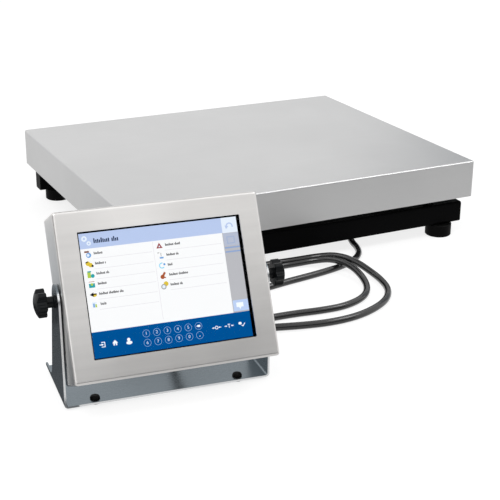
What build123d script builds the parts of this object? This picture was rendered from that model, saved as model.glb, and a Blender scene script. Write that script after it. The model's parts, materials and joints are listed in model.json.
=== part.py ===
from build123d import *
import math
import os

# Platform weighing scale with a tilting touch-screen terminal.
# Millimetres. The origin is the centre of the pan's top face: +X runs along the platform's
# long side, +Y to its back, +Z up.

# Pan
pan_width = 500.0
pan_depth = 400.0
pan_skirt = 49.5
pan_wall = 1.5
pan_bend = 2.6
pan_corner = 3.0

# Base frame of welded tubes
rail_inset_x = 11.0
rail_inset_y = 7.5
rail_width = 20.0
rail_height = 28.0
rail_drop = 8.5
cross_width = 40.0
cross_offset = 55.0
tube_wall = 2.0
tube_corner = 3.0
cap_flange = 1.5
cap_plug = 8.0
cap_play = 0.1
floor_gap = 17.0

# Deck frame that carries the pan
deck_tube = 20.0
deck_wall = 1.5
deck_side_x = 190.0
deck_side_reach = 7.5
deck_long_y = 50.0
deck_plate_length = 36.0
deck_plate_width = 120.0
deck_plate_thickness = 6.0
deck_pad_radius = 12.0
deck_pad_height = 3.0
deck_pad_y = 150.0

# Load cell
cell_length = 150.0
cell_width = 40.0
cell_height = 22.0
cell_lobe_radius = 8.6
cell_lobe_offset = 18.0
cell_slot_height = 9.0
cell_screw_end = 16.0
cell_screw_pitch_x = 13.0
cell_screw_pitch_y = 25.0
cell_screw_radius = 3.0
cell_screw_depth = 14.0
cell_travel = 0.5
spacer_length = 33.0

# Levelling feet and overload stops
foot_end = 28.7
foot_radius = 17.5
foot_rim_chamfer = 1.0
foot_pocket_play = 0.8
foot_tread = 5.0
foot_dish = 6.0
foot_stud_radius = 5.0
foot_stud_embed = 8.0
foot_stud_top = 21.0
foot_nut_flats = 16.0
foot_nut_height = 5.0
bush_radius = 7.0
bush_height = 12.0
stop_radius = 4.0
stop_nut_flats = 13.0
stop_nut_height = 6.5
stop_embed = 8.0

# Level vial and platform cable gland
level_y = 120.0
level_radius = 12.0
level_height = 8.0
level_lens_radius = 8.0
level_lens_height = 4.0
gland_plate_length = 32.0
gland_plate_height = 27.0
gland_plate_thickness = 3.0
gland_plate_y = -60.0
gland_x = 91.0
gland_drop = 21.0
gland_flats = 20.0
gland_hex = 6.0
gland_dome = 12.0
gland_dome_radius = 9.0
gland_thread_radius = 8.0
gland_locknut = 5.0
boot_length = 30.0
boot_root_radius = 7.0
boot_tip_radius = 5.3
boot_steps = 5
boot_groove = 1.4
boot_groove_depth = 0.9

# Terminal bracket
heading = -6.5
bracket_x = -299.4
bracket_y = -452.3
bracket_depth = 94.0
bracket_wall = 2.0
bracket_bend = 4.0
bracket_front = 33.0
bracket_strip = 9.5
ear_foot_y = 58.5
ear_foot_z = 19.0
ear_fillet = 10.0
ear_radius = 16.5
pivot_y = 20.0
pivot_z = 108.0
index_radius = 1.5
index_reach = 12.0
bracket_foot_x = 74.0
bracket_foot_front = 9.0
bracket_foot_rear = 77.0
bracket_foot_radius = 6.0
bracket_foot_height = 2.5
bracket_foot_dome = 5.0
bracket_foot_dome_height = 3.6
bracket_foot_neck = 3.2
ear_play = 0.1

# Terminal housing
tilt = 26.7
screen_width = 162.0
screen_height = 121.5
bezel = 21.4
shell_depth = 48.0
shell_wall = 1.5
shell_bend = 3.0
pivot_back = 24.2
glass_margin = 6.0
glass_thickness = 3.0
gasket_thickness = 1.0
lcd_margin = 4.0
lcd_thickness = 6.0
carrier_thickness = 1.5
carrier_window_width = 90.0
carrier_window_height = 60.0
board_length = 130.0
board_height = 95.0
board_thickness = 1.6
board_gap = 6.0
processor_side = 28.0
processor_height = 4.0
memory_length = 20.0
memory_width = 12.0
memory_height = 2.0
memory_pitch = 20.0
memory_count = 2
socket_length = 34.0
socket_width = 14.0
socket_height = 7.0
coil_length = 20.0
coil_width = 16.0
coil_height = 8.0
can_radius = 3.0
can_height = 7.5
can_pitch = 8.0
can_count = 4
board_edge = 12.0
cover_wall = 2.0
cover_lip = 8.0
cover_field_rise = 1.2
cover_field_margin = 24.0
cover_field_gap = 12.0
cover_field_corner = 6.0
cover_screw_radius = 2.0
cover_screw_head = 3.6
cover_screw_rows = 2
cover_screw_columns = 4

# Pivots and knobs
bush_outer = 9.0
bush_length = 9.0
washer_radius = 10.0
washer_thickness = 1.5
stud_radius = 4.0
knob_radius = 14.0
knob_lobes = 6
knob_lobe_radius = 4.2
knob_height = 11.7
knob_hub_radius = 5.5
knob_hub_length = 8.9
knob_dome = 26.0

# Rear connectors of the terminal
port_pitch = 32.0
port_drop = 36.0
port_radius = 6.0
port_length = 9.0
port_flange = 8.5
port_flange_height = 3.0
port_count = 2
port_socket_wall = 1.4
port_pin_radius = 0.6
port_pin_circle = 2.2
port_pins = 4
gland_head_x = 30.0

# Cable between platform and terminal
cable_diameter = 8.5
lead_diameter = 5.0
cable_arc_share = 0.45

# Clearances
run_clearance = 0.05
seat_gap = 0.3
wall_gap = 1.0
hole_clearance = 0.3

# Heights worked out from the sizes above
rail_top = -pan_skirt - rail_drop
rail_bottom = rail_top - rail_height
floor_z = rail_bottom - floor_gap
rail_length = pan_width - 2 * rail_inset_x
rail_y = pan_depth / 2 - rail_inset_y - rail_width / 2
cross_length = 2 * rail_y - rail_width
deck_side_length = 2 * (rail_y + deck_side_reach)
deck_top = -pan_wall - deck_pad_height
deck_bottom = deck_top - deck_tube
plate_bottom = deck_bottom - deck_plate_thickness
cell_bottom = plate_bottom - cell_height
foot_x = rail_length / 2 - foot_end
cell_screw_x = cell_length / 2 - cell_screw_end
gland_z = rail_top - gland_drop
face_width = screen_width + 2 * bezel
face_height = screen_height + 2 * bezel
shell_rear = shell_depth - pivot_back
ear_outside = face_width / 2 + washer_thickness + ear_play + bracket_wall
bracket_width = 2 * ear_outside


def block(x0, x1, y0, y1, z0, z1):
    """A rectangular solid between two corners."""
    return Pos((x0 + x1) / 2, (y0 + y1) / 2, (z0 + z1) / 2) * Box(x1 - x0, y1 - y0, z1 - z0)


def rod(radius, z0, z1, x=0.0, y=0.0):
    """An upright cylinder."""
    return Pos(x, y, (z0 + z1) / 2) * Cylinder(radius, z1 - z0)


def hexagon(flats, z0, z1):
    """An upright hexagonal prism, measured across its flats."""
    return Pos(0, 0, z0) * extrude(RegularPolygon(flats / 2, 6, major_radius=False), z1 - z0)


def nut(flats, bore, z0, z1):
    """A hexagonal nut with chamfered corners."""
    tip = flats / math.sqrt(3) + 0.2
    height = z1 - z0
    chamfered = Pos(0, 0, (z0 + z1) / 2) * chamfer(Cylinder(tip, height).edges(), 0.12 * flats)
    return (hexagon(flats, z0, z1) & chamfered) - rod(bore, z0 - 1, z1 + 1)


def tube_x(length, width, height, wall, corner):
    """A rectangular tube along X, centred on the origin."""
    outer = Plane.YZ * RectangleRounded(width, height, corner)
    inner = Plane.YZ * RectangleRounded(width - 2 * wall, height - 2 * wall, corner - wall)
    return extrude(outer, length / 2, both=True) - extrude(inner, length / 2, both=True)


def turned(points):
    """A solid of revolution about Z, from (radius, height) corners."""
    profile = make_face(Plane.XZ * Polyline(*points, close=True))
    return revolve(profile, Axis.Z)


def corners(x, y):
    """The four corner places of a rectangle, front left first."""
    return [(-x, -y), (x, -y), (-x, y), (x, y)]


def weighing_pan():
    """Folded sheet-metal pan: a top with four skirts, hollow underneath."""
    def form(inset, drop):
        width = pan_width - 2 * inset
        depth = pan_depth - 2 * inset
        radius = pan_corner - inset
        solid = extrude(RectangleRounded(width, depth, radius), -pan_skirt + drop)
        solid = Pos(0, 0, -drop) * solid
        return fillet(solid.edges().group_by(Axis.Z)[-1], pan_bend - inset)
    return form(0, 0) - form(pan_wall, pan_wall)


def base_rail(side):
    """Front or rear rail with the holes for its feet and overload stops."""
    rail = tube_x(rail_length - 2 * cap_flange, rail_width, rail_height, tube_wall, tube_corner)
    rail = Pos(0, 0, rail_top - rail_height / 2) * rail
    for x in (-foot_x, foot_x):
        hole = foot_stud_radius + hole_clearance
        rail -= rod(hole, rail_bottom - 1, rail_bottom + rail_height / 2, x)
    for x in (-deck_side_x, deck_side_x):
        hole = stop_radius + run_clearance
        rail -= rod(hole, rail_top - rail_height / 2, rail_top + 1, x)
    return Pos(0, side * rail_y, 0) * rail


def rail_caps():
    """Plugs that close the four rail ends."""
    flange = RectangleRounded(rail_width, rail_height, tube_corner)
    inside = tube_wall + cap_play
    inner = RectangleRounded(rail_width - 2 * inside, rail_height - 2 * inside, tube_corner - tube_wall)
    plug = extrude(Plane.YZ * flange, cap_flange) + extrude(Plane.YZ * inner, -cap_plug)
    plug = chamfer(plug.edges().group_by(Axis.X)[-1], 0.6)
    caps = []
    for side in (-1, 1):
        place = Pos(rail_length / 2 - cap_flange, side * rail_y, rail_top - rail_height / 2)
        caps.append(place * plug)
        caps.append(Rot(0, 0, 180) * place * plug)
    return Compound(caps)


def cell_screw_places(end):
    """The four screw places at one end of the load cell."""
    middle = end * cell_screw_x
    return [
        (middle + x, y)
        for x, y in corners(cell_screw_pitch_x / 2, cell_screw_pitch_y / 2)
    ]


def cross_tube(side):
    """Cross tube between the rails; the right one carries the load cell."""
    tube = tube_x(cross_length, cross_width, rail_height, tube_wall, tube_corner)
    tube = Pos(side * cross_offset, 0, rail_top - rail_height / 2) * Rot(0, 0, 90) * tube
    if side > 0:
        for x, y in cell_screw_places(1):
            tube -= rod(cell_screw_radius + hole_clearance, rail_top - rail_height / 2, rail_top + 1, x, y)
            tube -= rod(2 * cell_screw_radius, rail_bottom - 1, rail_top - rail_height / 2, x, y)
    return tube


def cell_spacer():
    """Spacer under the fixed end of the load cell."""
    start = cell_length / 2 - spacer_length
    plate = block(start, cell_length / 2, -cell_width / 2, cell_width / 2, rail_top, cell_bottom)
    for x, y in cell_screw_places(1):
        plate -= rod(cell_screw_radius + hole_clearance, rail_top - 1, cell_bottom + 1, x, y)
    return plate


def flexure_window(radius, slot):
    """The opening through the load cell: two round lobes joined by a slot."""
    lobe = Circle(radius)
    shape = Pos(-cell_lobe_offset, 0) * lobe + Pos(cell_lobe_offset, 0) * lobe
    shape += Rectangle(2 * cell_lobe_offset, slot)
    return shape


def load_cell():
    """Single-point load cell: a bar whose lobed window leaves four thin flexures."""
    middle = (cell_bottom + plate_bottom) / 2
    bar = Box(cell_length, cell_width, cell_height)
    bar = chamfer(bar.edges().filter_by(Axis.Y), 0.8)
    window = Plane.XZ * flexure_window(cell_lobe_radius, cell_slot_height)
    bar -= extrude(window, cell_width, both=True)
    hole = cell_screw_radius + run_clearance
    for x, y in cell_screw_places(1):
        bar -= rod(hole, -cell_height / 2 - 1, -cell_height / 2 + cell_screw_depth + 1, x, y)
    for x, y in cell_screw_places(-1):
        bar -= rod(hole, cell_height / 2 - cell_screw_depth - 1, cell_height / 2 + 1, x, y)
    return Pos(0, 0, middle) * bar


def gauge_potting():
    """Sealing compound that fills the slot between the lobes, over the strain gauges."""
    middle = (cell_bottom + plate_bottom) / 2
    slot = Rectangle(2 * cell_lobe_offset, cell_slot_height)
    for x in (-cell_lobe_offset, cell_lobe_offset):
        slot -= Pos(x, 0) * Circle(cell_lobe_radius)
    fill = extrude(Plane.XZ * slot, cell_width / 2 - 1, both=True)
    return Pos(0, 0, middle) * fill


def socket_screw(radius, length):
    """Socket-head screw with its head on +Z and its seat at the origin."""
    head = chamfer(Cylinder(1.65 * radius, 2 * radius).edges().group_by(Axis.Z)[-1], 0.4)
    head = Pos(0, 0, radius) * head
    socket = Pos(0, 0, radius) * extrude(RegularPolygon(0.83 * radius, 6, major_radius=False), radius + 1)
    return head - socket + rod(radius, -length, 0)


def cell_screws():
    """Screws that hold the load cell to the cross tube from below."""
    length = tube_wall + cell_bottom - rail_top + cell_screw_depth
    screw = Rot(180, 0, 0) * socket_screw(cell_screw_radius, length)
    return Compound([Pos(x, y, rail_top - tube_wall) * screw for x, y in cell_screw_places(1)])


def deck_screws():
    """Screws that hold the deck plate on the free end of the load cell."""
    screw = socket_screw(cell_screw_radius, deck_plate_thickness + cell_screw_depth)
    return Compound([Pos(x, y, deck_bottom) * screw for x, y in cell_screw_places(-1)])


def foot_bushes():
    """Threaded bushes inside the rails, one for each foot."""
    bush = rod(bush_radius, 0, bush_height) - rod(foot_stud_radius + run_clearance, -1, bush_height + 1)
    seat = rail_bottom + tube_wall
    return Compound([Pos(x, y, seat) * bush for x, y in corners(foot_x, rail_y)])


def lock_nuts():
    """Lock nuts of the feet, up against the rails."""
    body = nut(foot_nut_flats, foot_stud_radius + run_clearance, -foot_nut_height, 0)
    return Compound([Pos(x, y, rail_bottom) * body for x, y in corners(foot_x, rail_y)])


def foot_stud(x, y):
    """Threaded stud of one levelling foot."""
    start = floor_z + foot_seat_height() - foot_stud_embed
    stud = rod(foot_stud_radius, start, rail_bottom + foot_stud_top)
    stud = chamfer(stud.edges().group_by(Axis.Z)[-1], 0.8)
    return Pos(x, y, 0) * stud


def foot_seat_height():
    """Height of the seat for the stud in a foot, from the floor to just under its lock nut."""
    return floor_gap - foot_nut_height - seat_gap


def foot_pad(x, y):
    """Round levelling foot: dished below, with a pocket on top that takes the lock nut."""
    seat = foot_seat_height()
    top = floor_gap - seat_gap
    pocket = foot_nut_flats / math.sqrt(3) + foot_pocket_play
    inner = foot_radius - foot_dish
    pad = turned([
        (0, 1.0), (inner, 1.0), (inner, 0), (inner + foot_tread, 0), (foot_radius, 1.0),
        (foot_radius, top - foot_rim_chamfer), (foot_radius - foot_rim_chamfer, top),
        (pocket, top), (pocket, seat), (0, seat),
    ])
    pad -= rod(foot_stud_radius + run_clearance, seat - foot_stud_embed, seat + 1)
    return Pos(x, y, floor_z) * pad


def overload_stops():
    """Stop screws with lock nuts: they meet the deck when the load is too large."""
    tip = deck_bottom - cell_travel - seat_gap
    screw = chamfer(rod(stop_radius, rail_top - stop_embed, tip).edges().group_by(Axis.Z)[-1], 0.8)
    body = nut(stop_nut_flats, stop_radius + run_clearance, rail_top, rail_top + stop_nut_height)
    places = corners(deck_side_x, rail_y)
    return Compound([Pos(x, y, 0) * part for x, y in places for part in (screw, body)])


def level_holder():
    """Holder of the round level on the right cross tube."""
    holder = rod(level_radius, 0, level_height)
    holder = chamfer(holder.edges().group_by(Axis.Z)[-1], 1.0)
    holder -= rod(level_lens_radius + run_clearance, level_height - level_lens_height, level_height + 1)
    return Pos(cross_offset, level_y, rail_top) * holder


def level_lens():
    """Domed glass of the round level."""
    lens = rod(level_lens_radius, 0, level_lens_height)
    lens = chamfer(lens.edges().group_by(Axis.Z)[-1], 0.8)
    return Pos(cross_offset, level_y, rail_top + level_height - level_lens_height) * lens


def gland_plate():
    """Lug on the right cross tube that carries the cable gland."""
    start = cross_offset + cross_width / 2
    front = gland_plate_y - gland_plate_thickness
    plate = block(start, start + gland_plate_length, front, gland_plate_y,
                  rail_top - gland_plate_height - 5, rail_top - 5)
    edges = plate.edges().filter_by(Axis.Y).group_by(Axis.X)[-1]
    plate = fillet(edges, 5)
    hole = Rot(90, 0, 0) * Cylinder(gland_thread_radius + run_clearance, 20)
    return plate - Pos(gland_x, gland_plate_y, gland_z) * hole


def gland(grip, flats):
    """Cable gland along +Z: hexagon and dome nut at the front, lock nut behind a wall."""
    body = hexagon(flats, 0, gland_hex) & turned([
        (0, 0), (flats / 2 + 0.4, 0), (flats / math.sqrt(3), 1.2),
        (flats / math.sqrt(3), gland_hex), (0, gland_hex),
    ])
    dome = turned([
        (0, gland_hex), (gland_dome_radius, gland_hex),
        (gland_dome_radius, gland_hex + gland_dome - 4),
        (gland_dome_radius - 2, gland_hex + gland_dome), (0, gland_hex + gland_dome),
    ])
    thread = rod(gland_thread_radius, -grip - gland_locknut, 0)
    back = hexagon(flats - 1, -grip - gland_locknut, -grip)
    return body + dome + thread + back


def boot():
    """Tapered strain relief along +Z in grooved steps; the cable leaves its tip."""
    steps = boot_steps
    points = [(0, 0)]
    for i in range(steps):
        start = i * boot_length / steps
        stop = (i + 1) * boot_length / steps
        share = i / (steps - 1)
        radius = boot_root_radius + (boot_tip_radius - boot_root_radius) * share
        points += [(radius, start), (radius, stop - boot_groove)]
        if i < steps - 1:
            waist = radius - boot_groove_depth
            points += [(waist, stop - boot_groove), (waist, stop)]
        else:
            points += [(radius - 0.4, stop)]
    points.append((0, boot_length))
    return turned(points)


gland_front = gland_hex + gland_dome
toward_front = Rot(90, 0, 0)
platform_gland_place = Pos(gland_x, gland_plate_y - gland_plate_thickness, gland_z) * toward_front
bracket_place = Pos(bracket_x, bracket_y, floor_z) * Rot(0, 0, heading)
pivot_place = bracket_place * Pos(0, pivot_y, pivot_z)
head_place = pivot_place * Rot(-tilt, 0, 0)


def ear_outline():
    """Side outline of the bracket in (depth, height), from the floor plate to the round ear."""
    base = bracket_foot_height
    start = (0, base)
    front = (0, bracket_front)
    centre = (pivot_y, pivot_z)
    front_touch = tangent_point(front, centre, ear_radius, 1)
    rear_foot = (ear_foot_y, ear_foot_z)
    rear_touch = tangent_point(rear_foot, centre, ear_radius, -1)
    top = (pivot_y, pivot_z + ear_radius)
    strip = (ear_foot_y + ear_fillet + 3, bracket_strip)
    lines = [
        Line(start, front),
        Line(front, front_touch),
        ThreePointArc(front_touch, top, rear_touch),
        Line(rear_touch, rear_foot),
        TangentArc(rear_foot, strip, tangent=Vector(*rear_foot) - Vector(*rear_touch)),
        Line(strip, (bracket_depth, bracket_strip - 1)),
        Line((bracket_depth, bracket_strip - 1), (bracket_depth, base)),
        Line((bracket_depth, base), start),
    ]
    return make_face(Wire([edge for line in lines for edge in line.edges()]))


def tangent_point(point, centre, radius, side):
    """Where a line from a point touches a circle; side chooses which of the two."""
    dx = centre[0] - point[0]
    dy = centre[1] - point[1]
    distance = math.hypot(dx, dy)
    turn = side * math.asin(radius / distance)
    length = math.sqrt(distance ** 2 - radius ** 2)
    angle = math.atan2(dy, dx) + turn
    return (point[0] + length * math.cos(angle), point[1] + length * math.sin(angle))


def bracket():
    """Folded steel bracket: a floor plate with an ear at each end."""
    height = pivot_z + ear_radius
    base = bracket_foot_height
    outer = Pos(0, (base + height) / 2) * Rectangle(bracket_width, height - base)
    outer = fillet(outer.vertices().group_by(Axis.Y)[0], bracket_bend)
    inner = Pos(0, (base + bracket_wall + height) / 2 + 1)
    inner *= Rectangle(bracket_width - 2 * bracket_wall, height - base - bracket_wall + 2)
    inner = fillet(inner.vertices().group_by(Axis.Y)[0], bracket_bend - bracket_wall)
    section = Plane.XZ * (outer - inner)
    channel = Pos(0, bracket_depth / 2, 0) * extrude(section, bracket_depth / 2, both=True)
    side = extrude(Plane.YZ * ear_outline(), bracket_width, both=True)
    folded = channel & side
    through = bracket_width + 2
    pivot = Cylinder(stud_radius + hole_clearance, through)
    folded -= Pos(0, pivot_y, pivot_z) * Rot(0, 90, 0) * pivot
    reach = index_reach * math.sqrt(0.5)
    index = Cylinder(index_radius, through)
    folded -= Pos(0, pivot_y + reach, pivot_z + reach) * Rot(0, 90, 0) * index
    for x, y in bracket_foot_places():
        folded -= rod(bracket_foot_neck + run_clearance, 0, base + bracket_wall + 1, x, y)
    return bracket_place * folded


def bracket_foot_places():
    """Places of the rubber feet on the bracket's floor plate."""
    return [
        (x, y)
        for x in (-bracket_foot_x, bracket_foot_x)
        for y in (bracket_foot_front, bracket_foot_rear)
    ]


def bracket_feet():
    """Push-in rubber feet: a pad below the plate, a neck and a domed head above it."""
    under = bracket_foot_height
    over = under + bracket_wall
    foot = turned([
        (0, 0), (bracket_foot_radius - 0.8, 0), (bracket_foot_radius, 0.8),
        (bracket_foot_radius, under), (bracket_foot_neck, under), (bracket_foot_neck, over),
        (bracket_foot_dome, over), (bracket_foot_dome, over + 1.2),
        (bracket_foot_dome - 0.8, over + 2.6), (bracket_foot_dome - 2.6, over + 3.4),
        (0, over + bracket_foot_dome_height),
    ])
    return bracket_place * Compound([Pos(x, y, 0) * foot for x, y in bracket_foot_places()])


def panel(width, height, y0, y1, radius=0.0):
    """A plate facing the user in the terminal's own frame, between two depths."""
    shape = RectangleRounded(width, height, radius) if radius else Rectangle(width, height)
    return Pos(0, y1, 0) * extrude(Plane.XZ * shape, y1 - y0)


face_y = -pivot_back
face_back = face_y + shell_wall
glass_front = face_back + gasket_thickness
glass_back = glass_front + glass_thickness
lcd_back = glass_back + seat_gap + lcd_thickness
cover_y = shell_rear


def front_shell():
    """Folded stainless housing: the face with its screen opening and four side walls."""
    outer = panel(face_width, face_height, face_y, shell_rear, shell_bend)
    outer = fillet(outer.edges().group_by(Axis.Y)[0], shell_bend - 0.1)
    inner_radius = shell_bend - shell_wall
    inner = panel(face_width - 2 * shell_wall, face_height - 2 * shell_wall, face_back, shell_rear + 1,
                  inner_radius)
    inner = fillet(inner.edges().group_by(Axis.Y)[0], inner_radius - 0.1)
    opening = panel(screen_width, screen_height, face_y - 1, face_back + 1, 1.0)
    shell = outer - inner - opening
    bore = Rot(0, 90, 0) * Cylinder(bush_outer - 3 + run_clearance, face_width + 10)
    return head_place * (shell - bore)


def screen_gasket():
    """Rubber frame between the face and the touch glass."""
    width = screen_width + 2 * glass_margin
    height = screen_height + 2 * glass_margin
    ring = panel(width, height, face_back, glass_front)
    ring -= panel(screen_width + 1, screen_height + 1, face_back - 1, glass_front + 1)
    return head_place * ring


def touch_glass():
    """Touch glass behind the opening."""
    width = screen_width + 2 * glass_margin
    height = screen_height + 2 * glass_margin
    return head_place * panel(width, height, glass_front, glass_back, 1.0)


def lcd_module():
    """Display module close behind the glass."""
    width = screen_width + 2 * lcd_margin
    height = screen_height + 2 * lcd_margin
    return head_place * panel(width, height, glass_back + seat_gap, lcd_back)


def lcd_carrier():
    """Sheet carrier that clamps the display to the face, with a window and two folded wings."""
    width = screen_width + 2 * (glass_margin + seat_gap + carrier_thickness)
    height = screen_height + 2 * glass_margin
    back = lcd_back + carrier_thickness
    plate = panel(width, height, lcd_back, back)
    plate -= panel(carrier_window_width, carrier_window_height, lcd_back - 1, back + 1)
    for side in (-1, 1):
        x = side * (width / 2 - carrier_thickness / 2)
        wing = block(x - carrier_thickness / 2, x + carrier_thickness / 2, face_back, lcd_back,
                     -height / 3, height / 3)
        plate += wing
    return head_place * plate


def main_board():
    """Circuit board on four standoffs behind the display."""
    front = lcd_back + carrier_thickness + board_gap
    plate = panel(board_length, board_height, front, front + board_thickness)
    for x, z in corners(board_length / 2 - 5, board_height / 2 - 5):
        post = Pos(x, front - board_gap / 2, z) * Rot(90, 0, 0) * Cylinder(3, board_gap)
        plate += post
    return head_place * plate


def board_parts():
    """Processor, memory, a socket, a coil and capacitors on the board."""
    seat = lcd_back + carrier_thickness + board_gap + board_thickness
    left = -board_length / 2 + board_edge
    low = -board_height / 2 + board_edge
    processor_x = left + processor_side / 2 + can_pitch
    upper = processor_side / 2
    chips = [
        (processor_x, upper, processor_side, processor_side, processor_height),
        (left + socket_length / 2, low + socket_width / 2, socket_length, socket_width, socket_height),
        (-left - coil_length / 2, low + coil_width / 2, coil_length, coil_width, coil_height),
    ]
    for i in range(memory_count):
        x = processor_x + processor_side / 2 + memory_pitch * (i + 0.8)
        chips.append((x, upper, memory_width, memory_length, memory_height))
    parts = [
        Pos(x, seat + depth / 2, z) * Box(width, depth, height)
        for x, z, width, height, depth in chips
    ]
    can = Rot(90, 0, 0) * Cylinder(can_radius, can_height)
    for i in range(can_count):
        x = left + socket_length + can_pitch * (i + 1)
        parts.append(Pos(x, seat + can_height / 2, low + socket_width / 2) * can)
    return head_place * Compound(parts)


def cover_screw_places():
    """Screw places along the top and bottom edge of the rear cover."""
    reach_x = face_width / 2 - 3.2 * cover_screw_head
    reach_z = face_height / 2 - 2.1 * cover_screw_head
    places = []
    for row in range(cover_screw_rows):
        z = reach_z * (2 * row / (cover_screw_rows - 1) - 1)
        for column in range(cover_screw_columns):
            places.append((reach_x * (2 * column / (cover_screw_columns - 1) - 1), z))
    return places


def port_places():
    """Places of the round connectors on the rear cover."""
    return [(gland_head_x - port_pitch * (i + 1), -port_drop) for i in range(port_count)]


def rear_cover():
    """Rear cover: a plate with a lip inside the shell and a raised field that stiffens it."""
    gap = wall_gap
    width = face_width - 2 * shell_wall - 2 * gap
    height = face_height - 2 * shell_wall - 2 * gap
    front = cover_y - cover_wall
    plate = panel(width, height, front, cover_y, 2.0)
    lip = panel(width, height, front - cover_lip, front, 2.0)
    lip -= panel(width - 2 * cover_wall, height - 2 * cover_wall, front - cover_lip - 1, front + 1, 1.0)
    top = face_height / 2 - cover_field_margin
    bottom = cover_field_gap + port_flange - port_drop
    field_width = face_width - 2 * cover_field_margin
    middle = Pos(0, 0, (top + bottom) / 2)
    field = panel(field_width, top - bottom, cover_y, cover_y + cover_field_rise, cover_field_corner)
    field = chamfer(field.edges().group_by(Axis.Y)[-1], 0.8 * cover_field_rise)
    hollow = panel(field_width - 2 * cover_wall, top - bottom - 2 * cover_wall, front - 1,
                   front + cover_field_rise, cover_field_corner - cover_wall)
    cover = plate + lip + middle * field - middle * hollow
    for x, z in port_places():
        cover -= Pos(x, cover_y, z) * Rot(90, 0, 0) * Cylinder(port_radius + run_clearance, 20)
    cover -= Pos(gland_head_x, cover_y, -port_drop) * Rot(90, 0, 0) * Cylinder(
        gland_thread_radius + run_clearance, 20)
    for x, z in cover_screw_places():
        cover -= Pos(x, cover_y, z) * Rot(90, 0, 0) * Cylinder(cover_screw_radius + hole_clearance, 20)
    return head_place * cover


def cover_gasket():
    """Flat seal that the rear cover's lip presses on, round the inside of the shell."""
    gap = wall_gap / 3
    width = face_width - 2 * shell_wall - 2 * gap
    height = face_height - 2 * shell_wall - 2 * gap
    back = cover_y - cover_wall - cover_lip
    front = back - 2.0
    ring = panel(width, height, front, back, 1.0)
    ring -= panel(width - 14, height - 14, front - 1, back + 1)
    return head_place * ring


def cover_screws():
    """Pan-head screws of the rear cover."""
    screw = socket_screw(cover_screw_radius, cover_wall + 5)
    place = Rot(-90, 0, 0)
    return head_place * Compound([
        Pos(x, cover_y, z) * place * screw for x, z in cover_screw_places()
    ])


def panel_connectors():
    """Round threaded connectors on the rear cover, each with a flange and a pin field."""
    body = turned([
        (0, -6), (port_radius, -6), (port_radius, 0), (port_flange, 0),
        (port_flange, port_flange_height), (port_radius, port_flange_height),
        (port_radius, port_flange_height + port_length - 0.8),
        (port_radius - 0.8, port_flange_height + port_length),
        (port_radius - port_socket_wall, port_flange_height + port_length),
        (port_radius - port_socket_wall, port_flange_height + 2), (0, port_flange_height + 2),
    ])
    for i in range(port_pins):
        angle = math.radians(45 + 360 / port_pins * i)
        x = port_pin_circle * math.cos(angle)
        y = port_pin_circle * math.sin(angle)
        body += rod(port_pin_radius, port_flange_height + 1, port_flange_height + port_length - 2, x, y)
    place = Rot(-90, 0, 0)
    return head_place * Compound([Pos(x, cover_y, z) * place * body for x, z in port_places()])


terminal_gland_place = head_place * Pos(gland_head_x, cover_y, -port_drop) * Rot(-90, 0, 0)


def pivot_bushes():
    """Threaded bushes in the side walls of the shell."""
    inner = face_width / 2 - shell_wall
    bush = turned([
        (stud_radius + run_clearance, inner - bush_length), (bush_outer, inner - bush_length),
        (bush_outer, inner), (bush_outer - 3, inner), (bush_outer - 3, inner + shell_wall),
        (stud_radius + run_clearance, inner + shell_wall),
    ])
    return head_place * Compound([Rot(0, side * 90, 0) * bush for side in (-1, 1)])


def pivot_washers():
    """Friction washers between the shell and the bracket's ears."""
    start = face_width / 2
    washer = rod(washer_radius, start, start + washer_thickness)
    washer -= rod(stud_radius + run_clearance, start - 1, start + washer_thickness + 1)
    return head_place * Compound([Rot(0, side * 90, 0) * washer for side in (-1, 1)])


def knob_stud(side):
    """Threaded stud of a clamp knob, through the ear into the bush."""
    inner = face_width / 2 - shell_wall - bush_length
    stud = rod(stud_radius, inner, ear_outside + seat_gap + knob_hub_length)
    stud = chamfer(stud.edges().group_by(Axis.Z)[0], 0.8)
    return head_place * Rot(0, side * 90, 0) * stud


def knob_grip(side):
    """Lobed grip of a clamp knob: a domed star on a round hub."""
    lobe_reach = knob_radius - knob_lobe_radius
    star = Circle(knob_radius - 0.55 * knob_lobe_radius)
    for i in range(knob_lobes):
        angle = math.radians(360 / knob_lobes * i)
        x = lobe_reach * math.cos(angle)
        y = lobe_reach * math.sin(angle)
        star += Pos(x, y) * Circle(knob_lobe_radius)
    for i in range(knob_lobes):
        angle = math.radians(360 / knob_lobes * (i + 0.5))
        x = (knob_radius + 0.2) * math.cos(angle)
        y = (knob_radius + 0.2) * math.sin(angle)
        star -= Pos(x, y) * Circle(0.85 * knob_lobe_radius)
    grip = extrude(star, knob_height)
    ball = Pos(0, 0, knob_height - knob_dome) * Sphere(knob_dome)
    grip &= ball
    grip = fillet(grip.edges().group_by(Axis.Z)[0], 0.8)
    base = ear_outside + seat_gap
    grip = Pos(0, 0, base + knob_hub_length) * grip
    hub = turned([
        (0, base), (knob_hub_radius + 1, base), (knob_hub_radius + 1, base + 1.5),
        (knob_hub_radius, base + 2.2), (knob_hub_radius, base + knob_hub_length),
        (0, base + knob_hub_length),
    ])
    solid = hub + grip - rod(stud_radius + run_clearance, base - 1, base + knob_hub_length)
    return head_place * Rot(0, side * 90, 0) * solid


def deck_long(side):
    """Long tube of the deck frame."""
    length = 2 * deck_side_x - deck_tube
    tube = tube_x(length, deck_tube, deck_tube, deck_wall, 2.5)
    return Pos(0, side * deck_long_y, (deck_top + deck_bottom) / 2) * tube


def deck_side(side):
    """Side tube of the deck frame, over the overload stops."""
    tube = Rot(0, 0, 90) * tube_x(deck_side_length, deck_tube, deck_tube, deck_wall, 2.5)
    return Pos(side * deck_side_x, 0, (deck_top + deck_bottom) / 2) * tube


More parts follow.
